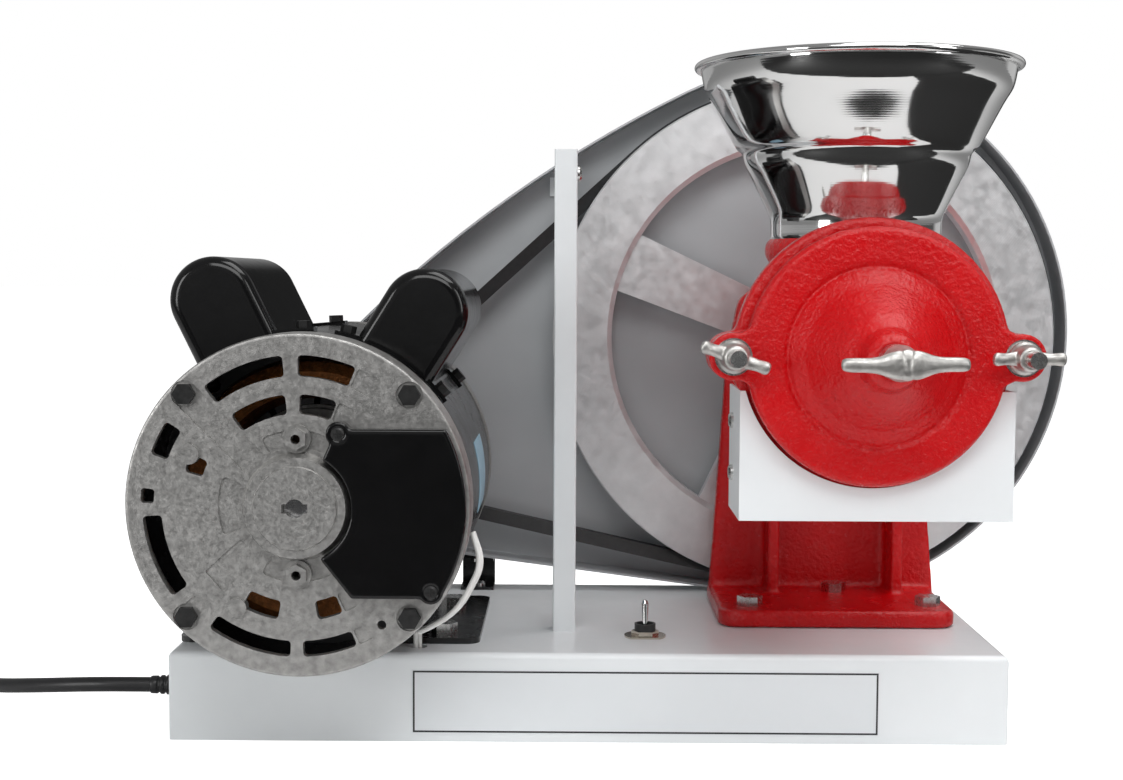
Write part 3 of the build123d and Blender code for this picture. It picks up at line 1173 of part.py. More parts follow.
pan = slab_y(pan_outline(0), pan_front_y, pan_rear_y)
pan -= slab_y(pan_outline(pan_sheet), pan_front_y - 1, pan_rear_y - pan_sheet)
for x, y in pan_screw_places:
    pan -= rod_z(x, y, base_screw_radius + fixed_fit, base_height - 5, base_height + 5)
stay_left = stay_right - stay_thickness
stay_mid_z = stay_bottom + stay_height / 2
stay_tab = 14.0
stay_screw_x = stay_left - stay_tab / 2
pan -= rod_y(stay_screw_x, stay_mid_z, base_screw_radius + fixed_fit, pan_back_y - 3, pan_rear_y + 3)


def pan_bottom_z(x):
    """Height of the pan's sloping underside at x."""
    (x1, z1), (x2, z2) = pan_small_centre, pan_large_centre
    reach = sqrt((x2 - x1) ** 2 + (z2 - z1) ** 2)
    fall = atan2(z2 - z1, x2 - x1) - asin((pan_large_radius - pan_small_radius) / reach)
    return z1 - pan_small_radius * cos(fall) + (x - x1 - pan_small_radius * sin(fall)) * tan(fall)


bracket_right = bracket_left + bracket_width
bracket_front_y = pan_rear_y - 24
bracket_top = pan_bottom_z(bracket_left) + 5
bracket = block(bracket_left, bracket_right, pan_rear_y - bracket_sheet - 1, pan_rear_y - 1, base_height,
                bracket_top)
bracket += block(bracket_left, bracket_right, bracket_front_y, pan_rear_y - 1, base_height,
                 base_height + bracket_sheet)
above_bracket = motor_z + pan_small_radius
under_pan = make_face(Polyline((bracket_left - 5, pan_bottom_z(bracket_left - 5)),
                               (bracket_right + 5, pan_bottom_z(bracket_right + 5)),
                               (bracket_right + 5, above_bracket), (bracket_left - 5, above_bracket),
                               close=True))
bracket_tab = slab_y(under_pan, bracket_front_y, pan_rear_y - 1)
tab_strip = block(bracket_left, bracket_right, bracket_front_y, pan_rear_y - 1, base_height + 5, bracket_top)
tab_strip &= Pos(0, 0, -bracket_sheet) * bracket_tab
bracket = bracket - bracket_tab + (tab_strip - bracket_tab)
bracket -= rod_z(*bracket_screw_place, base_screw_radius + fixed_fit, base_height - 5, base_height + 10)
rivet_radius = 2.0
rivet_x = bracket_left + bracket_width / 2
rivet_y = pan_front_y + 5
rivet_hole = rod_z(rivet_x, rivet_y, rivet_radius + fixed_fit, base_height + 5, bracket_top)
bracket -= rivet_hole
pan -= rivet_hole
nodes["belt_pan"] = pan
nodes["pan_bracket"] = bracket

post_left = post_x - post_width / 2
post_right = post_x + post_width / 2
post_rear_y = post_front_y + post_width
post = block(post_left, post_right, post_front_y, post_rear_y, base_height, post_top)
post = fillet(post.edges().filter_by(Axis.Z).sort_by(Axis.Y)[:2], 1.2)
post -= block(post_left + post_sheet, post_right - post_sheet, post_front_y + post_sheet, post_rear_y + 1,
              base_height + post_sheet, post_top + 1)
post -= rod_z(post_x, post_mid_y, base_screw_radius + fixed_fit, base_height - 1, base_height + 5)
stay_hole_y = post_mid_y + 1
post -= rod_x(stay_hole_y, stay_mid_z, base_screw_radius + fixed_fit, post_x, post_right + 5)
nodes["pan_post"] = post
stay = block(stay_left, stay_right, post_front_y + post_sheet + 1, pan_back_y, stay_bottom,
             stay_bottom + stay_height)
stay += block(stay_left - stay_tab, stay_left + 0.5, pan_back_y - stay_thickness, pan_back_y, stay_bottom,
              stay_bottom + stay_height)
stay -= rod_x(stay_hole_y, stay_mid_z, base_screw_radius + fixed_fit, stay_left - 5, stay_right + 5)
stay -= rod_y(stay_screw_x, stay_mid_z, base_screw_radius + fixed_fit, pan_back_y - 5, pan_back_y + 5)
nodes["pan_stay"] = stay

pan_screws = [
    Pos(post_right, stay_hole_y, stay_mid_z) * head_to_right * pan_screw(base_screw_radius, 7, 4.6, 2.6),
    Pos(stay_screw_x, pan_rear_y, stay_mid_z) * head_to_back * pan_screw(base_screw_radius, 7, 4.6, 2.6),
    Pos(post_x, post_mid_y, base_height + post_sheet) * pan_screw(base_screw_radius, 9, 4.4, 2.6),
    Pos(*bracket_screw_place, base_height + bracket_sheet) * pan_screw(base_screw_radius, 9, 4.6, 2.6),
]
for x, y in pan_screw_places:
    pan_screws.append(Pos(x, y, base_height + pan_sheet) * pan_screw(base_screw_radius, 9, 4.6, 1.6))
rivet_seat = pan_bottom_z(rivet_x) + pan_sheet + 0.5
pan_screws.append(Pos(rivet_x, rivet_y, rivet_seat) * pan_screw(rivet_radius, 6, 3.6, 2.0))
nodes["pan_screws"] = group(pan_screws)

# Strain relief, mains cord, coil and plug

relief_flange_x = -base_width / 2
relief_end_x = relief_flange_x - relief_length
relief_neck = cord_diameter / 2 + 0.6
relief_profile = [(0, 8), (relief_shank_radius, 8), (relief_shank_radius, 0), (7.6, 0), (7.6, -2.5),
                  (relief_neck + 0.9, -4), (relief_neck, -relief_length), (0, -relief_length)]
relief = turned_y(0, 0, [(r, -y) for r, y in relief_profile])
nodes["cord_relief"] = Pos(relief_flange_x, cord_exit_y, cord_exit_z) * Rot(0, 0, 90) * relief

cord_radius = cord_diameter / 2
floor_z = cord_radius + 0.15
coil_x, coil_y = coil_centre
coil_start = (coil_x + coil_outer_radius, coil_y, floor_z)
cord_points = [
    (relief_end_x, cord_exit_y, cord_exit_z),
    (-281.0, cord_exit_y, cord_exit_z),
    (-316.0, -36.0, 12.6),
    (-350.0, -19.0, 8.0),
    (-381.0, 8.0, 5.0),
    (-401.0, 43.0, floor_z),
    (coil_start[0], coil_y - 34, floor_z),
    (coil_start[0], coil_y, floor_z),
]
nodes["power_cord"] = swept_tube(cord_points, cord_radius, "power cord")


def coil_stations():
    """Places where the coil crosses its own X line, as (x offset, height): in below, out above."""
    count = 2 * coil_inward_turns
    inner_radius = coil_outer_radius - count * coil_pitch / 2
    lower = [((-1) ** k * (coil_outer_radius - k * coil_pitch / 2), floor_z) for k in range(count + 1)]
    upper = [(-(-1) ** k * (inner_radius + k * coil_pitch / 2), floor_z + coil_layer_height)
             for k in range(count - 1)]
    return lower + upper


def half_turns(stations):
    """Semicircles through the stations, behind the X line and in front of it in turn."""
    arcs = []
    for k, ((xa, za), (xb, zb)) in enumerate(zip(stations, stations[1:])):
        radius = abs(Vector(xb - xa, 0, zb - za).length) / 2
        side = 1 if k % 2 == 0 else -1
        middle = (coil_x + (xa + xb) / 2, coil_y + side * radius, (za + zb) / 2)
        arcs.append(ThreePointArc((coil_x + xa, coil_y, za), middle, (coil_x + xb, coil_y, zb)))
    return arcs


stations = coil_stations()
arcs = half_turns(stations)
last_x, last_z = stations[-1]
leaving = 1 if len(arcs) % 2 == 0 else -1
coil_end = (coil_x + last_x, coil_y + leaving * plug_run, last_z)
coil_path = Wire([*[a.edge() if hasattr(a, "edge") else a for a in arcs],
                  Edge.make_line((coil_x + last_x, coil_y, last_z), coil_end)])
coil_section = Plane(origin=coil_start, z_dir=(0, 1, 0)) * Circle(cord_radius)
coil = sweep(coil_section, path=coil_path)
nodes["power_cord_coil"] = coil

samples = 36
track = [coil_path @ (k / (samples * len(arcs))) for k in range(samples * len(arcs) + 1)]
step = coil_path.length / (len(track) - 1)
skip = int(3 * cord_diameter / step) + 1
least = min((track[i] - track[j]).length for i in range(len(track)) for j in range(i + skip, len(track)))
print(f"coil: loops {len(arcs) / 2}, length {coil_path.length:.1f}, least gap {least - cord_diameter:.2f}, "
      f"volume {coil.volume:.0f} of {pi * cord_radius ** 2 * coil_path.length:.0f}")

plug_y0 = coil_end[1]
plug_x = coil_end[0]
plug_body = Pos(plug_x, plug_y0 + leaving * plug_length / 2, last_z) * Box(26, plug_length, 25)
plug_body = fillet(plug_body.edges().filter_by(Axis.Y), 7)
nodes["plug"] = plug_body
blade_y0 = plug_y0 + leaving * plug_length
blades = []
for dx in (-6.35, 6.35):
    blades.append(Pos(plug_x + dx, blade_y0 + leaving * 8.5, last_z + 3) * Box(1.5, 17, 6.3))
blades.append(Pos(plug_x, blade_y0 + leaving * 9.5, last_z - 7) * Rot(90, 0, 0) * Cylinder(2.4, 19))
nodes["plug_blades"] = group(blades)

# Wiring inside the base

wire_radius = 1.3
wire_start = (relief_flange_x + 8.6, cord_exit_y)
wiring = []
for k, x in enumerate(blade_x):
    dy = (k - 1) * 3.2
    terminal_z = switch_body_top - body_z - 7
    if k < 2:
        points = [(wire_start[0], wire_start[1] + dy, cord_exit_z), (-120, wire_start[1] + dy - 4, 8 + k),
                  (x - 16, switch_y + dy, 7), (x, switch_y, 9), (x, switch_y, terminal_z)]
    else:
        points = [(lead_hole[0], lead_hole[1], base_height - 13), (lead_hole[0] + 12, lead_hole[1], 14),
                  (x - 20, switch_y - 8, 11), (x, switch_y, 10), (x, switch_y, terminal_z)]
    wiring.append(swept_tube(points, wire_radius, "inner wire"))
nodes["wiring"] = group(motor_leads + wiring)

os.makedirs("parts", exist_ok=True)
for name, shape in nodes.items():
    export_step(shape, f"parts/{name}.step")
print(len(nodes), "nodes")
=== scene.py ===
"""Dresses the electric grain mill: finishes for every solid of the frame, and softer castings, hopper,
wing screws, cord and plug modelled on top of it. Sizes and places are in millimetres, unless a name or
comment says metres."""
from math import cos, pi, radians, sin

import bmesh
import bpy
from mathutils import Euler, Matrix, Vector


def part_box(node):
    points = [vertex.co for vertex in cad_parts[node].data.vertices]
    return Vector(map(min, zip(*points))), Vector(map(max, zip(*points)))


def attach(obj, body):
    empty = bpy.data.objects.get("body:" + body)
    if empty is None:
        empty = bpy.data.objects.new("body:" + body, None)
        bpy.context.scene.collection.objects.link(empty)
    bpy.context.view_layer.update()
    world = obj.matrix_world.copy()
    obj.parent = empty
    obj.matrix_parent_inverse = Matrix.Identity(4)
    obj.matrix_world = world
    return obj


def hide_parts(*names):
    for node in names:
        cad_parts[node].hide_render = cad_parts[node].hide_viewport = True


bl_info = {
    "name": "Grain mill dresser",
    "version": (1, 0, 0),
    "blender": (4, 5, 0),
    "location": "3D View > Sidebar > Grain mill",
    "description": "Models and finishes an electric grain mill over its solid parts",
    "category": "Object",
}

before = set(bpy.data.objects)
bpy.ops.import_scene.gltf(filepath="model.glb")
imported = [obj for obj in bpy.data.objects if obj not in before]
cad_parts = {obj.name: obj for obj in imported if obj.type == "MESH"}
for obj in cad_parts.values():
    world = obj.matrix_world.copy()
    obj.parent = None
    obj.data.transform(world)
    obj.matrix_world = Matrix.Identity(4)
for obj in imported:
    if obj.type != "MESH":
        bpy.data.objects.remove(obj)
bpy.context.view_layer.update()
MM = 0.001


def size_property(label, words, value):
    """Size that a user may change; Blender's camera unit is the millimetre."""
    return bpy.props.FloatProperty(name=label, description=words, default=value, min=0.0, unit="CAMERA")


class MillSizes(bpy.types.PropertyGroup):
    """Sizes that the dressed pieces share, and the camera's lens."""
    camera_lens: size_property("Lens", "Focal length on a 36 mm sensor", 53.83)
    cord_diameter: size_property("Cord", "Outside diameter of the cord", 8.5)
    coil_radius: size_property("Coil radius", "Radius of the outer turn", 58.0)
    coil_pitch: size_property("Coil pitch", "Step from turn to turn", 10.6)
    coil_layer: size_property("Coil layer", "Height between layers", 11.6)
    casting_voxel: size_property("Body grid", "Grid for the body casting", 1.7)
    lid_voxel: size_property("Lid grid", "Grid for the lid casting", 0.8)
    hopper_wall: size_property("Hopper wall", "Thickness of the steel", 1.0)
    label_frame: size_property("Label frame", "Inset of the label's line", 0.5)


def colour_property(label, words, value):
    """Colour that a user may change, with linear red, green and blue."""
    return bpy.props.FloatVectorProperty(name=label, description=words, subtype="COLOR", size=3,
                                         min=0.0, max=1.0, default=value)


class MillColours(bpy.types.PropertyGroup):
    """Base colours of the finishes."""
    red: colour_property("Red", "Gloss paint on the castings", (0.50, 0.0010, 0.0030))
    white: colour_property("White", "Powder coat on the base", (0.77, 0.80, 0.815))
    grey: colour_property("Grey", "Paint of the belt pan", (0.45, 0.465, 0.48))
    black: colour_property("Black", "Enamel of the motor", (0.004, 0.004, 0.0042))
    aluminium: colour_property("Aluminium", "Cast aluminium", (0.38, 0.375, 0.365))
    pulley: colour_property("Pulley", "Turned aluminium", (0.80, 0.805, 0.815))
    steel: colour_property("Steel", "Zinc plated steel", (0.62, 0.62, 0.61))
    zinc: colour_property("Zinc", "Rough cast zinc", (0.50, 0.49, 0.47))


def sizes():
    return bpy.context.scene.mill_sizes


def colours():
    return bpy.context.scene.mill_colours


# Selecting and finishing

MERGE_METRES = 0.00001
FLAT_ANGLE = 0.8
SHARP_ANGLE = 32


def deselect():
    if bpy.context.mode != "OBJECT":
        bpy.ops.object.mode_set(mode="OBJECT")
    bpy.ops.object.select_all(action="DESELECT")


def choose(piece):
    deselect()
    piece.select_set(True)
    bpy.context.view_layer.objects.active = piece


def edit(piece):
    choose(piece)
    bpy.ops.object.mode_set(mode="EDIT")


def leave_edit():
    bpy.ops.object.mode_set(mode="OBJECT")


def choose_faces(piece, wanted):
    """In edit mode, selects just the faces for which wanted(face) holds."""
    bpy.ops.mesh.select_mode(type="FACE")
    bpy.ops.mesh.select_all(action="DESELECT")
    mesh = bmesh.from_edit_mesh(piece.data)
    for face in mesh.faces:
        face.select_set(wanted(face))
    bmesh.update_edit_mesh(piece.data)


def apply(piece, kind, **settings):
    """Adds a modifier of that kind and applies it."""
    choose(piece)
    modifier = piece.modifiers.new(kind.title(), kind)
    for key, value in settings.items():
        setattr(modifier, key, value)
    bpy.ops.object.modifier_apply(modifier=modifier.name)


def right_way_out(piece):
    """Merges the doubles and turns every face outwards."""
    edit(piece)
    bpy.ops.mesh.select_all(action="SELECT")
    bpy.ops.mesh.remove_doubles(threshold=MERGE_METRES)
    bpy.ops.mesh.normals_make_consistent(inside=False)
    leave_edit()


def place_in_mesh(piece):
    """Moves the piece's place, turn and size from its object into its mesh."""
    choose(piece)
    bpy.ops.object.transform_apply(location=True, rotation=True, scale=True)


def coat_with(piece, material):
    piece.data.materials.clear()
    piece.data.materials.append(material)


def hand_over(piece, body, material, slot, *nodes, angle=35):
    """Settles a new piece: its place in its mesh, smooth by angle, its finish, its body and the nodes that
    it stands for."""
    place_in_mesh(piece)
    bpy.ops.object.shade_smooth_by_angle(angle=radians(angle))
    coat_with(piece, material)
    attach(piece, body)
    if nodes:
        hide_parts(*nodes)
    return piece


def join(first, *others):
    """Makes the pieces one, which keeps the first one's name."""
    deselect()
    for piece in (first, *others):
        piece.select_set(True)
    bpy.context.view_layer.objects.active = first
    bpy.ops.object.join()
    return first


def new_object(name, data):
    piece = bpy.data.objects.new(name, data)
    bpy.context.scene.collection.objects.link(piece)
    return piece


def from_node(node, name):
    """New piece that starts as the solid's own surface, with its triangles merged into one skin."""
    piece = new_object(name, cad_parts[node].data.copy())
    edit(piece)
    bpy.ops.mesh.select_all(action="SELECT")
    bpy.ops.mesh.customdata_custom_splitnormals_clear()
    bpy.ops.mesh.remove_doubles(threshold=MERGE_METRES)
    leave_edit()
    return piece


def soften(piece, voxel, rounds):
    """Melts a piece's edges and corners, as the sand mould and thick paint do."""
    apply(piece, "REMESH", mode="VOXEL", voxel_size=voxel * MM)
    apply(piece, "SMOOTH", factor=0.5, iterations=rounds)


def bevel(piece, width, segments, angle):
    """Rounds the edges that turn by more than the angle."""
    apply(piece, "BEVEL", width=width * MM, segments=segments, limit_method="ANGLE",
          angle_limit=radians(angle))


def broken_edges(piece, width):
    """Makes flat faces whole and rounds the sharp edges between them a little."""
    edit(piece)
    bpy.ops.mesh.select_all(action="SELECT")
    bpy.ops.mesh.dissolve_limited(angle_limit=radians(FLAT_ANGLE))
    leave_edit()
    bevel(piece, width, segments=2, angle=SHARP_ANGLE)


def flat_faces_shine_flat(piece):
    """Lets the large faces rule the shading, so that broken edges don't bend it."""
    apply(piece, "WEIGHTED_NORMAL", weight=100, keep_sharp=True)


# Shapes

AXES = {"X": Vector((1, 0, 0)), "Y": Vector((0, 1, 0)), "Z": Vector((0, 0, 1))}
TILTS = {"X": (0, pi / 2, 0), "Y": (pi / 2, 0, 0), "Z": (0, 0, 0)}
ALIGNED = 0.9


def node_middle(node):
    """Middle of a solid's own box."""
    low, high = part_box(node)
    return (low + high) / 2 / MM


def turned(name, centre, axis, profile, segments, closed=True):
    """Circle drawn out ring by ring along an axis; the profile lists (radius, distance)."""
    deselect()
    along = AXES[axis]
    middle = Vector(centre) * MM
    first_radius, start = profile[0]
    bpy.ops.mesh.primitive_circle_add(vertices=segments, radius=first_radius * MM, rotation=TILTS[axis],
                                      fill_type="NGON" if closed else "NOTHING",
                                      location=middle + along * start * MM)
    piece = bpy.context.object
    piece.name = name
    edit(piece)
    bpy.ops.mesh.select_mode(type="EDGE")
    bpy.ops.mesh.select_all(action="SELECT")
    for (radius, distance), (next_radius, next_distance) in zip(profile, profile[1:]):
        step = along * (next_distance - distance) * MM
        bpy.ops.mesh.extrude_edges_move(TRANSFORM_OT_translate={"value": step})
        grow = next_radius / radius
        bpy.ops.transform.resize(value=(grow, grow, grow),
                                 center_override=middle + along * next_distance * MM)
    if closed:
        bpy.ops.mesh.edge_face_add()
    leave_edit()
    right_way_out(piece)
    place_in_mesh(piece)
    return piece


def block(name, low, high):
    """Box between two corners."""
    deselect()
    low, high = Vector(low) * MM, Vector(high) * MM
    bpy.ops.mesh.primitive_cube_add(size=1, location=(low + high) / 2, scale=high - low)
    piece = bpy.context.object
    piece.name = name
    place_in_mesh(piece)
    return piece


def draw_out(piece, facing, steps):
    """Pulls the face that looks one way out in steps of (move, grow along X, Y and Z)."""
    facing = Vector(facing)
    edit(piece)
    choose_faces(piece, lambda face: face.normal.dot(facing) > ALIGNED)
    for move, grow in steps:
        bpy.ops.mesh.extrude_region_move(TRANSFORM_OT_translate={"value": Vector(move) * MM})
        mesh = bmesh.from_edit_mesh(piece.data)
        picked = [vertex.co for vertex in mesh.verts if vertex.select]
        middle = sum(picked, Vector()) / len(picked)
        bpy.ops.transform.resize(value=grow, center_override=middle)
    leave_edit()


# Shader nodes

WHITE = (1.0, 1.0, 1.0, 1.0)
NOISE_DETAIL = 3.0
NOISE_ROUGHNESS = 0.55
NOISE_RANGE = (0.3, 0.7)


def add(tree, kind, **settings):
    """New node of that kind."""
    node = tree.nodes.new(kind)
    for key, value in settings.items():
        setattr(node, key, value)
    return node


def set_inputs(node, values):
    for name, value in values.items():
        node.inputs[name].default_value = value


def new_material(name):
    """Material with its node tree and its main shader."""
    material = bpy.data.materials.new(name)
    material.use_nodes = True
    tree = material.node_tree
    return material, tree, tree.nodes["Principled BSDF"]


def object_place(tree):
    """The place on the piece, in metres."""
    return add(tree, "ShaderNodeTexCoord").outputs["Object"]


def parts_of(tree, vector):
    """X, Y and Z of a vector, by letter."""
    parts = add(tree, "ShaderNodeSeparateXYZ")
    tree.links.new(vector, parts.inputs[0])
    return parts.outputs


def math_node(tree, operation, *values):
    """Result of a Math node; each value is a socket or a number."""
    node = add(tree, "ShaderNodeMath", operation=operation)
    for socket, value in zip(node.inputs, values):
        if isinstance(value, bpy.types.NodeSocket):
            tree.links.new(value, socket)
        else:
            socket.default_value = value
    return node.outputs[0]


def mix_colours(tree, factor, first, second):
    """Mix of two colours; each is a socket or its red, green and blue."""
    node = add(tree, "ShaderNodeMix", data_type="RGBA")
    tree.links.new(factor, node.inputs["Factor"])
    for socket, value in ((node.inputs["A"], first), (node.inputs["B"], second)):
        if isinstance(value, bpy.types.NodeSocket):
            tree.links.new(value, socket)
        else:
            socket.default_value = (*value, 1.0)
    return node.outputs["Result"]


def map_range(tree, value, source, target=(0.0, 1.0)):
    """Stretches the range source of a value to run over the range target."""
    node = add(tree, "ShaderNodeMapRange")
    set_inputs(node, {"From Min": source[0], "From Max": source[1], "To Min": target[0], "To Max": target[1]})
    tree.links.new(value, node.inputs["Value"])
    return node.outputs["Result"]


def noise(tree, vector, size):
    """Noise whose lumps are about size across."""
    node = add(tree, "ShaderNodeTexNoise")
    set_inputs(node, {"Scale": 1 / (size * MM), "Detail": NOISE_DETAIL, "Roughness": NOISE_ROUGHNESS})
    tree.links.new(vector, node.inputs["Vector"])
    return node.outputs["Fac"]


def add_bump(tree, shader, height, deepest):
    """Adds a bump map over the bumps that the shader already has."""
    bump = add(tree, "ShaderNodeBump")
    bump.inputs["Distance"].default_value = deepest * MM
    tree.links.new(height, bump.inputs["Height"])
    for link in shader.inputs["Normal"].links:
        tree.links.new(link.from_socket, bump.inputs["Normal"])
    tree.links.new(bump.outputs["Normal"], shader.inputs["Normal"])


def add_tool_rings(material, distance, pitch, height, where=None):
    """Fine turning marks over the grain, everywhere or where a mask says."""
    tree = material.node_tree
    wave = math_node(tree, "SINE", math_node(tree, "MULTIPLY", distance, 2 * pi / (pitch * MM)))
    if where is not None:
        wave = math_node(tree, "MULTIPLY", wave, where)
    add_bump(tree, tree.nodes["Principled BSDF"], wave, height)


# Finishes

FINISH_PREFIX = "mill_"
GLOSS_LUMPS = 0.4
RIM_INSIDE = 123.5
RIM_RINGS = {"pitch": 0.9, "height": 0.012}
BOWL_RINGS = {"pitch": 1.1, "height": 0.0012}
LABEL_LINE = 1.0
LABEL_INK = (0.02, 0.02, 0.022)


def finished(name):
    """Finish of that name, which the frame's own plain materials may share."""
    return bpy.data.materials[FINISH_PREFIX + name]


def paint_nodes(finish_name, *nodes):
    """Gives solids of the frame their finish."""
    for name in nodes:
        coat_with(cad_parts[name], finished(finish_name))


def shade_of(colour, times):
    """The colour made so many times as light."""
    return tuple(min(1.0, part * times) for part in colour)


def finish(name, colour, roughness, grains, metallic=0.0, rough_spread=0.06, mottle=0.08, mottle_size=30.0,
           coat=0.0, coat_roughness=0.08, shine=0.5):
    """Painted, cast, plated or moulded surface with mottled colour, uneven gloss and a bump for each
    grain (lump size, height)."""
    material, tree, shader = new_material(FINISH_PREFIX + name)
    set_inputs(shader, {"Metallic": metallic, "Specular IOR Level": shine, "Coat Weight": coat,
                        "Coat Roughness": coat_roughness})
    place = object_place(tree)
    lumps = map_range(tree, noise(tree, place, mottle_size), NOISE_RANGE)
    tinted = mix_colours(tree, lumps, shade_of(colour, 1 - mottle), shade_of(colour, 1 + mottle))
    tree.links.new(tinted, shader.inputs["Base Color"])
    gloss = map_range(tree, noise(tree, place, mottle_size * GLOSS_LUMPS), NOISE_RANGE,
                      (roughness - rough_spread, roughness + rough_spread))
    tree.links.new(gloss, shader.inputs["Roughness"])
    for size, height in grains:
        add_bump(tree, shader, noise(tree, place, size), height)
    return material


def make_finishes():
    """All the finishes of the mill, by name."""
    make_paints()
    make_cast_and_plated_metals()
    make_bare_metals()
    make_rubbers_and_mouldings()
    make_pulley_finish()
    make_steel_bowl_finish()
    make_label_finish()


def make_paints():
    tints = colours()
    finish("red_paint", tints.red, roughness=0.24, mottle=0.07, grains=((2.4, 0.9), (0.9, 0.2)), coat=0.05,
           coat_roughness=0.12, shine=0.38)
    finish("white_coat", tints.white, roughness=0.34, mottle=0.012, grains=((1.6, 0.006), (20.0, 0.02)),
           coat=0.2)
    finish("grey_paint", tints.grey, metallic=0.25, roughness=0.38, mottle=0.05, mottle_size=70,
           grains=((1.4, 0.008), (30.0, 0.05)))
    finish("black_enamel", tints.black, roughness=0.24, mottle=0.2, grains=((2.2, 0.012), (18.0, 0.05)),
           coat=0.2)
    finish("black_gloss", tints.black, roughness=0.13, rough_spread=0.04, mottle=0.2,
           grains=((2.8, 0.006), (25.0, 0.12)), shine=0.35)
    finish("motor_plate", (0.34, 0.55, 0.68), metallic=0.2, roughness=0.35, mottle=0.05,
           grains=((1.5, 0.005),))


def make_cast_and_plated_metals():
    tints = colours()
    finish("cast_aluminium", tints.aluminium, metallic=0.85, roughness=0.44, rough_spread=0.12, mottle=0.22,
           mottle_size=4, grains=((2.0, 0.09), (0.7, 0.04)))
    finish("cast_zinc", tints.zinc, metallic=0.85, roughness=0.4, rough_spread=0.12, mottle=0.2,
           mottle_size=5, grains=((2.2, 0.12), (0.6, 0.04)))
    finish("zinc_plate", tints.steel, metallic=1.0, roughness=0.26, mottle_size=6, grains=((1.2, 0.01),))
    finish("nickel", (0.60, 0.55, 0.47), metallic=1.0, roughness=0.18, mottle=0.1, mottle_size=4,
           grains=((1.0, 0.01),))
    finish("black_oxide", (0.03, 0.03, 0.03), metallic=0.6, roughness=0.4, mottle=0.3, mottle_size=4,
           grains=((0.8, 0.02),))


def make_bare_metals():
    """Steel, iron, copper, bronze and brass with no coat on them."""
    finish("ground_steel", (0.58, 0.58, 0.59), metallic=1.0, roughness=0.2, mottle=0.04,
           grains=((0.6, 0.004),))
    finish("polished_steel", (0.72, 0.72, 0.72), metallic=1.0, roughness=0.08, rough_spread=0.03, mottle=0.02,
           grains=((8.0, 0.002),))
    finish("laminations", (0.2, 0.2, 0.21), metallic=0.7, roughness=0.45, grains=((1.0, 0.03),))
    finish("copper_winding", (0.5, 0.19, 0.06), metallic=0.7, roughness=0.35, mottle=0.25, mottle_size=3,
           grains=((1.2, 0.4),))
    finish("bronze", (0.55, 0.33, 0.12), metallic=1.0, roughness=0.3, grains=((1.0, 0.01),))
    finish("brass", (0.7, 0.5, 0.2), metallic=1.0, roughness=0.22, grains=((1.0, 0.006),))
    finish("burr_iron", (0.16, 0.16, 0.17), metallic=0.8, roughness=0.45, grains=((1.4, 0.05),))


def make_rubbers_and_mouldings():
    finish("phenolic", (0.16, 0.07, 0.03), roughness=0.45, grains=((1.0, 0.02),))
    finish("black_moulding", (0.015, 0.015, 0.016), roughness=0.42, mottle=0.15, grains=((1.1, 0.02),))
    finish("white_insulation", (0.78, 0.78, 0.76), roughness=0.35, mottle=0.03, grains=((2.0, 0.01),))
    finish("belt_rubber", (0.014, 0.014, 0.015), roughness=0.55, mottle=0.25, mottle_size=4,
           grains=((0.8, 0.03),))
    finish("cord_rubber", (0.012, 0.012, 0.013), roughness=0.36, mottle=0.15, mottle_size=12,
           grains=((1.5, 0.01),))


def make_pulley_finish():
    """Turned rim, sand-cast arms and hub."""
    material = finish("pulley_metal", colours().pulley, metallic=0.8, roughness=0.4, rough_spread=0.08,
                      mottle=0.07, mottle_size=14, grains=((3.0, 0.03), (0.9, 0.02)))
    tree = material.node_tree
    parts = parts_of(tree, object_place(tree))
    centre = node_middle("driven_pulley") * MM
    aside = math_node(tree, "SUBTRACT", parts["X"], centre.x)
    above = math_node(tree, "SUBTRACT", parts["Z"], centre.z)
    squares = [math_node(tree, "MULTIPLY", way, way) for way in (aside, above)]
    radius = math_node(tree, "SQRT", math_node(tree, "ADD", *squares))
    on_rim = math_node(tree, "GREATER_THAN", radius, RIM_INSIDE * MM)
    add_tool_rings(material, radius, **RIM_RINGS, where=on_rim)


def make_steel_bowl_finish():
    """Mirror-polished spun steel with faint rings."""
    material = finish("spun_steel", (0.74, 0.74, 0.735), metallic=1.0, roughness=0.075, rough_spread=0.025,
                      mottle=0.02, mottle_size=40, grains=((45.0, 0.12),))
    tree = material.node_tree
    parts = parts_of(tree, object_place(tree))
    add_tool_rings(material, parts["Z"], **BOWL_RINGS)


def make_label_finish():
    """Bare white film with a thin dark line set in from its edge."""
    material = finish("label_film", (0.72, 0.75, 0.77), roughness=0.4, mottle=0.01, grains=((3.0, 0.004),))
    tree = material.node_tree
    colour_input = tree.nodes["Principled BSDF"].inputs["Base Color"]
    low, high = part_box("front_label")
    middle, half = (low + high) / 2, (high - low) / 2
    parts = parts_of(tree, object_place(tree))
    across = math_node(tree, "ABSOLUTE", math_node(tree, "SUBTRACT", parts["X"], middle.x))
    upward = math_node(tree, "ABSOLUTE", math_node(tree, "SUBTRACT", parts["Z"], middle.z))

    def within(margin):
        """1 inside a rectangle that is margin smaller all round than the label."""
        return math_node(tree, "MULTIPLY", math_node(tree, "LESS_THAN", across, half.x - margin * MM),
                         math_node(tree, "LESS_THAN", upward, half.z - margin * MM))

    inset = sizes().label_frame
    ring = math_node(tree, "SUBTRACT", within(inset), within(inset + LABEL_LINE))
    film = colour_input.links[0].from_socket
    tree.links.new(mix_colours(tree, ring, film, LABEL_INK), colour_input)


# Stage, with places and sizes in metres, angles in degrees and the sensor in millimetres

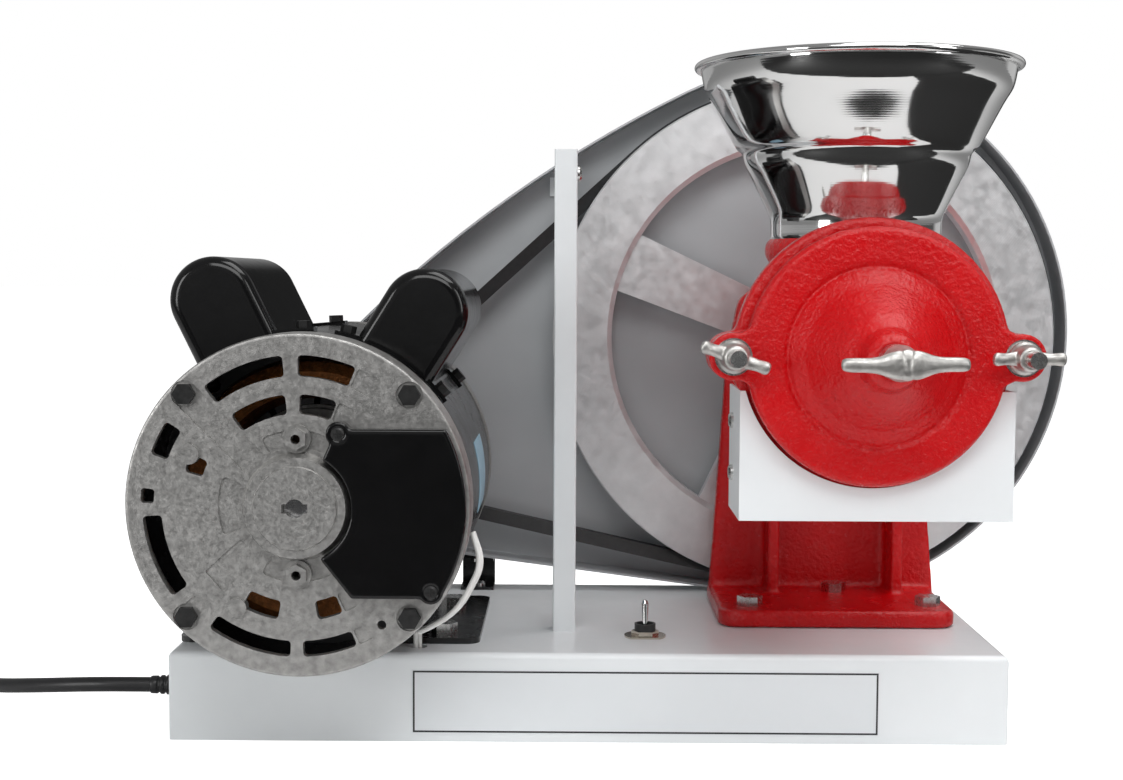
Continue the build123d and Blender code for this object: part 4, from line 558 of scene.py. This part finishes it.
SENSOR_WIDTH = 36.0
CAMERA_PLACE = Vector((-9.61, -989.08, 249.42)) * MM
CAMERA_DIP, CAMERA_TURN, CAMERA_ROLL = 3.870, 0.347, 0.282
FLOOR_SIZE = 60.0
FLOOR_HEIGHT = -0.0001
FLOOR_GLOW = 0.8
STUDIO_STRENGTH = 0.72
STUDIO_BANDS = [(0.0, 0.5), (0.08, 0.5), (0.11, 0.15), (0.18, 0.5), (0.24, 0.5), (0.27, 0.05), (0.34, 0.05),
                (0.36, 0.7), (0.40, 0.7), (0.43, 0.12), (0.57, 0.12), (0.60, 0.8), (0.65, 0.8), (0.68, 0.04),
                (0.75, 0.04), (0.79, 0.6), (0.88, 0.6), (1.0, 0.5)]
BANDS_FADE = (0.3, 0.8)
STUDIO_CEILING = (0.4, 0.4, 0.4)
LAMP_AIM = Vector((0.0, 0.0, 0.2))
LAMPS = [("key", (0.1, -1.4, 1.3), (1.3, 0.7), 13),
         ("overhead", (0.5, -0.2, 1.7), (1.0, 1.0), 14),
         ("left_box", (-1.4, -1.4, 0.5), (0.5, 0.9), 9),
         ("right_box", (1.5, -1.2, 0.8), (0.4, 1.2), 6)]
CARDS = [("right_card", (0.75, -0.05, 0.001), (0.75, 0.9)),
         ("front_card", (0.0, -2.0, 0.001), (5.0, 3.1))]


def make_camera():
    """Camera at the photograph's place and angle."""
    camera = bpy.data.cameras.new("camera")
    camera.lens = sizes().camera_lens
    camera.sensor_width = SENSOR_WIDTH
    camera.clip_start = 0.01
    camera.clip_end = 100.0
    holder = new_object("camera", camera)
    turn = Euler((radians(90 - CAMERA_DIP), 0, radians(CAMERA_TURN))).to_matrix().to_4x4()
    roll = Matrix.Rotation(radians(CAMERA_ROLL), 4, "Z")
    holder.matrix_world = Matrix.Translation(CAMERA_PLACE) @ turn @ roll
    bpy.context.scene.camera = holder


def make_floor():
    """Pale floor that keeps the shadow and looks nearly white to the camera."""
    deselect()
    bpy.ops.mesh.primitive_plane_add(size=FLOOR_SIZE, location=(0, 0, FLOOR_HEIGHT))
    floor = bpy.context.object
    floor.name = "floor"
    edit(floor)
    bpy.ops.mesh.subdivide(number_cuts=3)
    leave_edit()
    place_in_mesh(floor)
    material, tree, shader = new_material("pale_floor")
    set_inputs(shader, {"Roughness": 0.9, "Specular IOR Level": 0.1, "Base Color": (0.88, 0.88, 0.88, 1.0),
                        "Emission Color": WHITE})
    rays = add(tree, "ShaderNodeLightPath")
    seen = math_node(tree, "MULTIPLY", rays.outputs["Is Camera Ray"], FLOOR_GLOW)
    tree.links.new(seen, shader.inputs["Emission Strength"])
    floor.data.materials.append(material)


def make_world():
    """White to the camera; soft boxes with darker gaps between them for the shine on metal."""
    world = bpy.data.worlds.new("studio")
    bpy.context.scene.world = world
    world.use_nodes = True
    tree = world.node_tree
    tree.nodes.clear()
    place = add(tree, "ShaderNodeTexCoord").outputs["Generated"]
    sweep = add(tree, "ShaderNodeTexGradient", gradient_type="RADIAL")
    tree.links.new(place, sweep.inputs["Vector"])
    ramp = add(tree, "ShaderNodeValToRGB")
    tree.links.new(sweep.outputs["Color"], ramp.inputs["Fac"])
    steps = ramp.color_ramp.elements
    for position, _ in STUDIO_BANDS[1:-1]:
        steps.new(position)
    for step, (position, level) in zip(steps, STUDIO_BANDS):
        step.position = position
        step.color = (level, level, level, 1.0)
    height = map_range(tree, parts_of(tree, place)["Z"], BANDS_FADE)
    studio = add(tree, "ShaderNodeBackground")
    studio.inputs["Strength"].default_value = STUDIO_STRENGTH
    lifted = mix_colours(tree, height, ramp.outputs["Color"], STUDIO_CEILING)
    tree.links.new(lifted, studio.inputs["Color"])
    white = add(tree, "ShaderNodeBackground")
    white.inputs["Color"].default_value = WHITE
    rays = add(tree, "ShaderNodeLightPath")
    choice = add(tree, "ShaderNodeMixShader")
    tree.links.new(rays.outputs["Is Camera Ray"], choice.inputs["Fac"])
    tree.links.new(studio.outputs[0], choice.inputs[1])
    tree.links.new(white.outputs[0], choice.inputs[2])
    output = add(tree, "ShaderNodeOutputWorld")
    tree.links.new(choice.outputs[0], output.inputs["Surface"])


def make_lamp(name, place, size, watts):
    """Soft box at that place, turned to the mill."""
    lamp = bpy.data.lights.new(name, "AREA")
    lamp.shape = "RECTANGLE"
    lamp.size, lamp.size_y = size
    lamp.energy = watts
    holder = new_object(name, lamp)
    place = Vector(place)
    turn = (LAMP_AIM - place).to_track_quat("-Z", "Y").to_matrix().to_4x4()
    holder.matrix_world = Matrix.Translation(place) @ turn


def make_card(name, middle, size):
    """Black card on the floor, which the camera doesn't see: it darkens what shiny pieces reflect."""
    deselect()
    bpy.ops.mesh.primitive_plane_add(size=1.0, location=middle)
    card = bpy.context.object
    card.name = name
    edit(card)
    bpy.ops.transform.resize(value=(*size, 1.0), center_override=middle)
    leave_edit()
    place_in_mesh(card)
    material, _, shader = new_material(name)
    set_inputs(shader, {"Base Color": (0.01, 0.01, 0.01, 1.0), "Roughness": 0.9})
    card.data.materials.append(material)
    card.visible_camera = False
    card.visible_diffuse = False
    card.visible_shadow = False


def make_stage():
    """Camera, floor, studio, lamps and dark cards."""
    bpy.context.scene.view_settings.view_transform = "Standard"
    make_camera()
    make_floor()
    make_world()
    for lamp in LAMPS:
        make_lamp(*lamp)
    for card in CARDS:
        make_card(*card)


# Cord

CORD_START = (-226.0, -45.0, 15.8)
CORD_ROUTE = [(-249.0, -45.0, 15.8), (-281.0, -45.0, 15.8), (-316.0, -36.0, 12.6), (-350.0, -19.0, 8.0),
              (-381.0, 8.0, 5.0), (-401.0, 43.0, 4.4), (-410.0, 78.0, 4.4)]
CORD_OFF_TABLE = 0.15
COIL_CENTRE = (-468.0, 112.0)
COIL_INWARD_TURNS = 3
COIL_STEPS = 6
COIL_LEAD = 6.0
PLUG_LEAD = 30.0
PLUG_RUN = 52.0


def coil_stations():
    """Places where the coil crosses its own X line, as (x offset, height)."""
    chosen = sizes()
    low = chosen.cord_diameter / 2 + CORD_OFF_TABLE
    half_pitch = chosen.coil_pitch / 2
    count = 2 * COIL_INWARD_TURNS
    inner = chosen.coil_radius - count * half_pitch
    below = [((-1) ** k * (chosen.coil_radius - k * half_pitch), low) for k in range(count + 1)]
    above = [(-(-1) ** k * (inner + k * half_pitch), low + chosen.coil_layer) for k in range(count - 1)]
    return below + above


def coil_route():
    """Control points round every half turn, set out a little because the spline cuts inside them."""
    points = []
    stations = coil_stations()
    step = pi / COIL_STEPS
    outset = 1 / cos(step / 2)
    for half_turn, ((from_x, from_z), (to_x, to_z)) in enumerate(zip(stations, stations[1:])):
        middle, reach = (from_x + to_x) / 2, (from_x - to_x) / 2
        side = 1 if half_turn % 2 == 0 else -1
        for k in range(COIL_STEPS):
            turn = step * (k + 0.5)
            points.append((COIL_CENTRE[0] + middle + reach * cos(turn) * outset,
                           COIL_CENTRE[1] + side * abs(reach) * sin(turn) * outset,
                           from_z + (to_z - from_z) * (1 - cos(turn)) / 2))
    return points


def plug_place():
    """Where the cord ends in the plug, which lies beside the coil."""
    last_x, last_z = coil_stations()[-1]
    return Vector((COIL_CENTRE[0] + last_x, COIL_CENTRE[1] - PLUG_RUN, last_z))


def cord_route():
    """Points from the base, into the coil, round it and out to the plug."""
    first_x, first_z = coil_stations()[0]
    end = plug_place()
    coil_y = COIL_CENTRE[1]
    into_coil = (COIL_CENTRE[0] + first_x, coil_y - COIL_LEAD, first_z)
    out_of_coil = [(end.x, coil_y - COIL_LEAD, end.z), (end.x, coil_y - PLUG_LEAD, end.z), tuple(end)]
    return [CORD_START, *CORD_ROUTE, into_coil, *coil_route(), *out_of_coil]


def make_cord():
    """Mains cord from the base through its coil to the plug, as one spline."""
    curve = bpy.data.curves.new("mains_cord", "CURVE")
    curve.dimensions = "3D"
    curve.bevel_depth = sizes().cord_diameter / 2 * MM
    curve.bevel_resolution = 6
    curve.use_fill_caps = True
    curve.resolution_u = 10
    route = cord_route()
    spline = curve.splines.new("NURBS")
    spline.points.add(len(route) - 1)
    for point, place in zip(spline.points, route):
        point.co = (*(Vector(place) * MM), 1.0)
    spline.order_u = 3
    spline.use_endpoint_u = True
    cord = new_object("mains_cord", curve)
    curve.materials.append(finished("cord_rubber"))
    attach(cord, "stand")
    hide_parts("power_cord", "power_cord_coil")
    plug = make_plug()
    relief = make_relief()


# Plug and sleeve

PLUG_HALF = (12.6, 12.0)
PLUG_BACK, PLUG_FRONT = 39.8, 25.0
PLUG_GRIP = [((0, 5, 0), (0.82, 1, 0.86)), ((0, 8, 0), (0.96, 1, 0.96)), ((0, 8, 0), (0.9, 1, 0.86)),
             ((0, 4, 0), (0.72, 1, 0.66))]
GRIP_RIBS, GRIP_START, GRIP_PITCH = 4, 8.0, 3.6
GRIP_HALF = (10.2, 0.8, 10.0)
BASE_SIDE = -225.0
SLEEVE_RIBS, SLEEVE_START, SLEEVE_PITCH = 5, 2.5, 3.6
SLEEVE_RADIUS, SLEEVE_GROWTH, SLEEVE_GROOVE = 5.1, 0.3, 0.7
RING_END, SLOPE_END, GROOVE_END = 1.8, 2.1, 3.2
SLEEVE_MOUTH = (4.35, 5.0)
SLEEVE_FLANGE, SLEEVE_SHANK = 7.5, 5.9


def make_plug():
    """Moulded plug: a block drawn out to a waisted grip, rounded, with ribs for the fingers."""
    end = plug_place()
    half_x, half_z = PLUG_HALF
    plug = block("moulded_plug", (end.x - half_x, end.y - PLUG_BACK, end.z - half_z),
                 (end.x + half_x, end.y - PLUG_FRONT, end.z + half_z))
    draw_out(plug, (0, 1, 0), PLUG_GRIP)
    bevel(plug, 2.2, segments=3, angle=40)
    ribs = []
    for k in range(GRIP_RIBS):
        middle = Vector((end.x, end.y - GRIP_START - k * GRIP_PITCH, end.z))
        rib = block("grip", middle - Vector(GRIP_HALF), middle + Vector(GRIP_HALF))
        bevel(rib, 0.7, segments=2, angle=40)
        ribs.append(rib)
    join(plug, *ribs)
    return hand_over(plug, "stand", finished("cord_rubber"), "cord_rubber", "plug", angle=50)


def sleeve_profile(start, end):
    """Widening rings between grooves, a flange on the base's side and a shank through it."""
    profile = [(SLEEVE_MOUTH[0], start), (SLEEVE_MOUTH[1], start + 0.5)]
    for k in range(SLEEVE_RIBS):
        at = start + SLEEVE_START + k * SLEEVE_PITCH
        outer = SLEEVE_RADIUS + k * SLEEVE_GROWTH
        groove = outer - SLEEVE_GROOVE
        profile += [(outer, at), (outer, at + RING_END), (groove, at + SLOPE_END), (groove, at + GROOVE_END)]
    return profile + [(SLEEVE_FLANGE, BASE_SIDE - 2.6), (SLEEVE_FLANGE, BASE_SIDE - 0.1),
                      (SLEEVE_SHANK, BASE_SIDE), (SLEEVE_SHANK, end)]


def make_relief():
    """Tapered, ribbed sleeve where the cord leaves the base."""
    low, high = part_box("cord_relief")
    axis_place = (0, CORD_START[1], CORD_START[2])
    sleeve = turned("relief_sleeve", axis_place, "X", sleeve_profile(low.x / MM, high.x / MM), segments=40)
    bevel(sleeve, 0.3, segments=2, angle=30)
    return hand_over(sleeve, "stand", finished("cord_rubber"), "cord_rubber", "cord_relief")


# Castings and cover

CASTING_ROUNDS = 4
COVER_VOXEL, COVER_ROUNDS = 0.7, 9


def make_mill_body():
    """Body casting: the solid's own shape with melted edges under thick paint."""
    body = from_node("mill_body", "mill_body_casting")
    soften(body, sizes().casting_voxel, CASTING_ROUNDS)
    hand_over(body, "stand", finished("red_paint"), "red_paint", "mill_body", angle=180)


def make_lid():
    """Lid casting with the same melted edges on a finer grid."""
    lid = from_node("mill_lid", "mill_lid_casting")
    soften(lid, sizes().lid_voxel, CASTING_ROUNDS)
    hand_over(lid, "stand", finished("red_paint"), "red_paint", "mill_lid", angle=180)


def make_front_bell():
    """Die-cast front bell with broken edges."""
    bell = from_node("front_endbell", "front_bell_casting")
    broken_edges(bell, 0.7)
    hand_over(bell, "stand", finished("cast_aluminium"), "cast_aluminium", "front_endbell", angle=50)
    flat_faces_shine_flat(bell)


def make_terminal_cover():
    """Moulded cover with soft edges."""
    cover = from_node("terminal_cover", "terminal_cover_moulding")
    soften(cover, COVER_VOXEL, COVER_ROUNDS)
    hand_over(cover, "stand", finished("black_gloss"), "gloss_black", "terminal_cover", angle=180)


def make_pulley():
    """Spoked pulley with broken edges."""
    pulley = from_node("driven_pulley", "spoked_pulley")
    broken_edges(pulley, 1.0)
    hand_over(pulley, "mill_rotor", finished("pulley_metal"), "pulley_aluminium", "driven_pulley",
              angle=50)
    flat_faces_shine_flat(pulley)


# Hopper

HOPPER_PROFILE = [(43.9, 268.6), (43.9, 272.0), (43.9, 277.8), (44.3, 280.6), (45.6, 283.6), (50.0, 292.4),
                  (54.9, 302.3), (56.6, 305.8), (57.5, 309.0), (57.8, 311.8), (58.6, 313.6), (60.6, 314.9),
                  (62.4, 316.6), (68.0, 327.2), (74.2, 339.3), (76.4, 342.4), (78.3, 345.6), (79.3, 349.5),
                  (80.2, 355.4), (80.5, 356.6)]
RIM_HEIGHT, RIM_RADIUS, RIM_ROLL, RIM_FLATNESS = 357.4, 81.6, 2.1, 0.92


def make_hopper():
    """Two bowls drawn up ring by ring from the neck, thickened, and closed with a rolled rim."""
    middle = node_middle("hopper")
    bowl = turned("hopper_bowls", (middle.x, middle.y, 0), "Z", HOPPER_PROFILE, segments=128, closed=False)
    apply(bowl, "SOLIDIFY", thickness=sizes().hopper_wall * MM, offset=-1.0, use_even_offset=True)
    apply(bowl, "SUBSURF", levels=1, render_levels=1)
    deselect()
    rim_place = Vector((middle.x, middle.y, RIM_HEIGHT)) * MM
    bpy.ops.mesh.primitive_torus_add(location=rim_place, major_segments=160, minor_segments=20,
                                     major_radius=RIM_RADIUS * MM, minor_radius=RIM_ROLL * MM)
    rim = bpy.context.object
    edit(rim)
    bpy.ops.transform.resize(value=(1, 1, RIM_FLATNESS), center_override=rim_place)
    leave_edit()
    place_in_mesh(rim)
    join(bowl, rim)
    hand_over(bowl, "hopper", finished("spun_steel"), "stainless", "hopper", angle=60)


# Wing screws

WING_REACH = 5
WING_VOXEL, WING_ROUNDS = 0.45, 3
NUT_HUB = [(8.0, 0.0), (8.2, 0.6), (8.0, 2.4), (6.6, 4.0), (6.0, 9.0), (5.8, 13.2), (4.6, 14.0)]
NUT_ROOT = (6.5, 5.8, 8.2)
NUT_ARM = [(3.5, -0.6, 0.3, 0.9, 0.86), (3.5, -1.4, 0.4, 0.92, 0.84), (3.0, -1.0, 0.2, 1.15, 1.3),
           (2.6, -0.2, -0.1, 0.8, 0.75)]
NUT_TILTS = {"left": 22, "right": 3}
SCREW_SEAT = -240.2
SCREW_HUB = [(5.6, -60.0), (5.9, -59.0), (5.9, -2.0), (8.0, -1.0), (8.4, 1.5), (8.0, 6.0), (7.4, 13.0),
             (6.8, 16.5), (5.4, 18.4), (3.0, 19.0)]
SCREW_ROOT = (17.0, 6.8, 14.6)
SCREW_ARM = [(3.5, 0.3, 0.1, 0.95, 0.8), (4.0, 0.6, 0.1, 0.92, 0.7), (5.0, 1.0, 0.1, 0.95, 0.86),
             (5.0, 1.0, 0.0, 1.0, 1.04), (4.0, 0.6, -0.1, 0.94, 0.94), (2.0, 0.2, -0.1, 0.7, 0.66)]


def turn_about_y(piece, centre, angle):
    """Turns the piece clockwise as the camera sees it."""
    spin = Matrix.Translation(Vector(centre) * MM) @ Matrix.Rotation(radians(angle), 4, "Y")
    piece.data.transform(spin @ Matrix.Translation(-Vector(centre) * MM))
    piece.data.update()


def winged(name, centre, hub, root, arm):
    """Hub turned along -Y with an arm drawn out on each side, then melted together. The hub lists
    (radius, distance to the front), the root is (distance to the front, thickness, height), and the arm
    lists steps of (out, back, up, times thicker, times taller)."""
    x, y, z = centre
    core = turned(name, centre, "Y", [(radius, -distance) for radius, distance in hub], segments=40)
    depth, thick, tall = root
    wings = []
    for side in (-1, 1):
        reach = side * WING_REACH
        wing = block("wing", (x + min(0, reach), y - depth - thick / 2, z - tall / 2),
                     (x + max(0, reach), y - depth + thick / 2, z + tall / 2))
        steps = [((side * out, back, side * up), (1, thicker, taller))
                 for out, back, up, thicker, taller in arm]
        draw_out(wing, (side, 0, 0), steps)
        apply(wing, "SUBSURF", levels=2, render_levels=2)
        wings.append(wing)
    join(core, *wings)
    soften(core, WING_VOXEL, WING_ROUNDS)
    return core


def make_wing_nuts():
    """The lid's two wing nuts, each on its washer and turned as in the photograph."""
    for side, tilt in NUT_TILTS.items():
        washer = side + "_washer"
        middle = node_middle(washer)
        centre = (middle.x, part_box(washer)[0].y / MM, middle.z)
        nut = winged(side + "_winged_nut", centre, NUT_HUB, NUT_ROOT, NUT_ARM)
        turn_about_y(nut, centre, tilt)
        hand_over(nut, side + "_nut", finished("cast_zinc"), "cast_zinc", side + "_wing_nut", angle=180)


def make_adjusting_screw():
    """The screw in the lid's middle, with its shank and long wings."""
    collar = node_middle("adjusting_collar")
    screw = winged("wing_screw", (collar.x, SCREW_SEAT, collar.z), SCREW_HUB, SCREW_ROOT, SCREW_ARM)
    hand_over(screw, "adjuster", finished("cast_zinc"), "cast_zinc", "adjusting_screw", angle=180)


# Motor plate on the shell

PLATE_LIFT, PLATE_THICKNESS = 0.35, 0.3
PLATE_LENGTH, PLATE_MIDDLE = 52, -72
PLATE_LOW, PLATE_HIGH = -14, 22


def make_motor_plate():
    """Bare curved plate on the shell's right side."""
    low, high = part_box("motor_shell")
    middle = (low + high) / 2
    radius = (high.x - low.x) / 2
    deselect()
    bpy.ops.mesh.primitive_cylinder_add(vertices=180, radius=radius + PLATE_LIFT * MM,
                                        depth=PLATE_LENGTH * MM, end_fill_type="NOTHING",
                                        rotation=TILTS["Y"], location=(middle.x, PLATE_MIDDLE * MM, middle.z))
    plate = bpy.context.object
    plate.name = "motor_data_plate"
    place_in_mesh(plate)
    edit(plate)

    def outside(face):
        place = (face.calc_center_median() - middle) / MM
        return not (place.x > 0 and PLATE_LOW < place.z < PLATE_HIGH)

    choose_faces(plate, outside)
    bpy.ops.mesh.delete(type="FACE")
    leave_edit()
    apply(plate, "SOLIDIFY", thickness=PLATE_THICKNESS * MM, offset=-1.0)
    hand_over(plate, "stand", finished("motor_plate"), "label_film")


# Operators

class Dresser:
    """Shared settings of the operators."""
    bl_options = {"REGISTER", "UNDO"}


class MILL_OT_stage(Dresser, bpy.types.Operator):
    """Camera, floor, studio, lamps and dark cards"""
    bl_idname = "mill.stage"
    bl_label = "Stage"

    def execute(self, context):
        make_stage()
        return {"FINISHED"}


class MILL_OT_finishes(Dresser, bpy.types.Operator):
    """Every finish of the mill"""
    bl_idname = "mill.finishes"
    bl_label = "Finishes"

    def execute(self, context):
        make_finishes()
        return {"FINISHED"}


class MILL_OT_cord(Dresser, bpy.types.Operator):
    """Mains cord with its sleeve, coil and plug"""
    bl_idname = "mill.cord"
    bl_label = "Cord"

    def execute(self, context):
        make_cord()
        paint_nodes("brass", "plug_blades")
        return {"FINISHED"}


class MILL_OT_base(Dresser, bpy.types.Operator):
    """Base box, label, switch and wiring"""
    bl_idname = "mill.base"
    bl_label = "Base"

    def execute(self, context):
        paint_nodes("white_coat", "base_box")
        paint_nodes("zinc_plate", "base_bottom_plate", "bottom_plate_screws", "mounting_bolts")
        paint_nodes("label_film", "front_label")
        paint_nodes("nickel", "switch_plate", "switch_nut")
        paint_nodes("polished_steel", "toggle_lever")
        paint_nodes("black_moulding", "switch_body")
        paint_nodes("white_insulation", "wiring")
        return {"FINISHED"}


class MILL_OT_motor(Dresser, bpy.types.Operator):
    """Motor with its covers, foot and inside"""
    bl_idname = "mill.motor"
    bl_label = "Motor"

    def execute(self, context):
        make_front_bell()
        make_terminal_cover()
        make_motor_plate()
        paint_nodes("cast_aluminium", "rear_endbell", "rotor_core")
        paint_nodes("black_enamel", "motor_shell", "motor_foot")
        paint_nodes("black_gloss", "capacitor_cover_left", "capacitor_cover_right")
        paint_nodes("black_oxide", "through_bolts", "cover_screws")
        paint_nodes("black_moulding", "capacitors", "cooling_fan")
        paint_nodes("phenolic", "centrifugal_governor", "start_switch")
        paint_nodes("laminations", "stator_core")
        paint_nodes("copper_winding", "stator_windings")
        paint_nodes("ground_steel", "motor_shaft")
        paint_nodes("polished_steel", "motor_bearings")
        return {"FINISHED"}


class MILL_OT_drive(Dresser, bpy.types.Operator):
    """Pulleys, belt, belt pan and its post"""
    bl_idname = "mill.drive"
    bl_label = "Drive"

    def execute(self, context):
        make_pulley()
        paint_nodes("belt_rubber", "v_belt")
        paint_nodes("cast_aluminium", "motor_pulley")
        paint_nodes("black_oxide", "motor_pulley_screw", "driven_pulley_fixings")
        paint_nodes("grey_paint", "belt_pan")
        paint_nodes("black_enamel", "pan_bracket")
        paint_nodes("white_coat", "pan_post", "pan_stay")
        paint_nodes("zinc_plate", "pan_screws")
        return {"FINISHED"}


class MILL_OT_head(Dresser, bpy.types.Operator):
    """Body and lid castings, shaft, plates, studs and wing screws"""
    bl_idname = "mill.head"
    bl_label = "Mill head"

    def execute(self, context):
        make_mill_body()
        make_lid()
        make_wing_nuts()
        make_adjusting_screw()
        paint_nodes("ground_steel", "main_shaft")
        paint_nodes("burr_iron", "rotating_burr", "fixed_burr")
        paint_nodes("bronze", "shaft_bushes")
        paint_nodes("zinc_plate", "lid_studs", "left_washer", "right_washer", "adjusting_collar",
                    "shield_screws")
        paint_nodes("polished_steel", "thrust_ball")
        paint_nodes("white_coat", "chute_shield")
        return {"FINISHED"}


class MILL_OT_hopper(Dresser, bpy.types.Operator):
    """Spun steel hopper"""
    bl_idname = "mill.hopper"
    bl_label = "Hopper"

    def execute(self, context):
        make_hopper()
        return {"FINISHED"}


OPERATORS = (MILL_OT_stage, MILL_OT_finishes, MILL_OT_cord, MILL_OT_base, MILL_OT_motor, MILL_OT_drive,
             MILL_OT_head, MILL_OT_hopper)


class MILL_PT_panel(bpy.types.Panel):
    """Lists the sizes, the colours and the steps that dress the mill"""
    bl_label = "Grain mill"
    bl_idname = "MILL_PT_panel"
    bl_space_type = "VIEW_3D"
    bl_region_type = "UI"
    bl_category = "Grain mill"

    def draw(self, context):
        for group in (context.scene.mill_sizes, context.scene.mill_colours):
            for key in group.__annotations__:
                self.layout.prop(group, key)
        for operator in OPERATORS:
            self.layout.operator(operator.bl_idname)


CLASSES = (MillSizes, MillColours, *OPERATORS, MILL_PT_panel)


def register():
    for item in CLASSES:
        bpy.utils.register_class(item)
    bpy.types.Scene.mill_sizes = bpy.props.PointerProperty(type=MillSizes)
    bpy.types.Scene.mill_colours = bpy.props.PointerProperty(type=MillColours)


def unregister():
    del bpy.types.Scene.mill_colours
    del bpy.types.Scene.mill_sizes
    for item in reversed(CLASSES):
        bpy.utils.unregister_class(item)


def main():
    register()
    bpy.ops.mill.stage()
    bpy.ops.mill.finishes()
    bpy.ops.mill.cord()
    bpy.ops.mill.base()
    bpy.ops.mill.motor()
    bpy.ops.mill.drive()
    bpy.ops.mill.head()
    bpy.ops.mill.hopper()


if __name__ == "__main__":
    main()
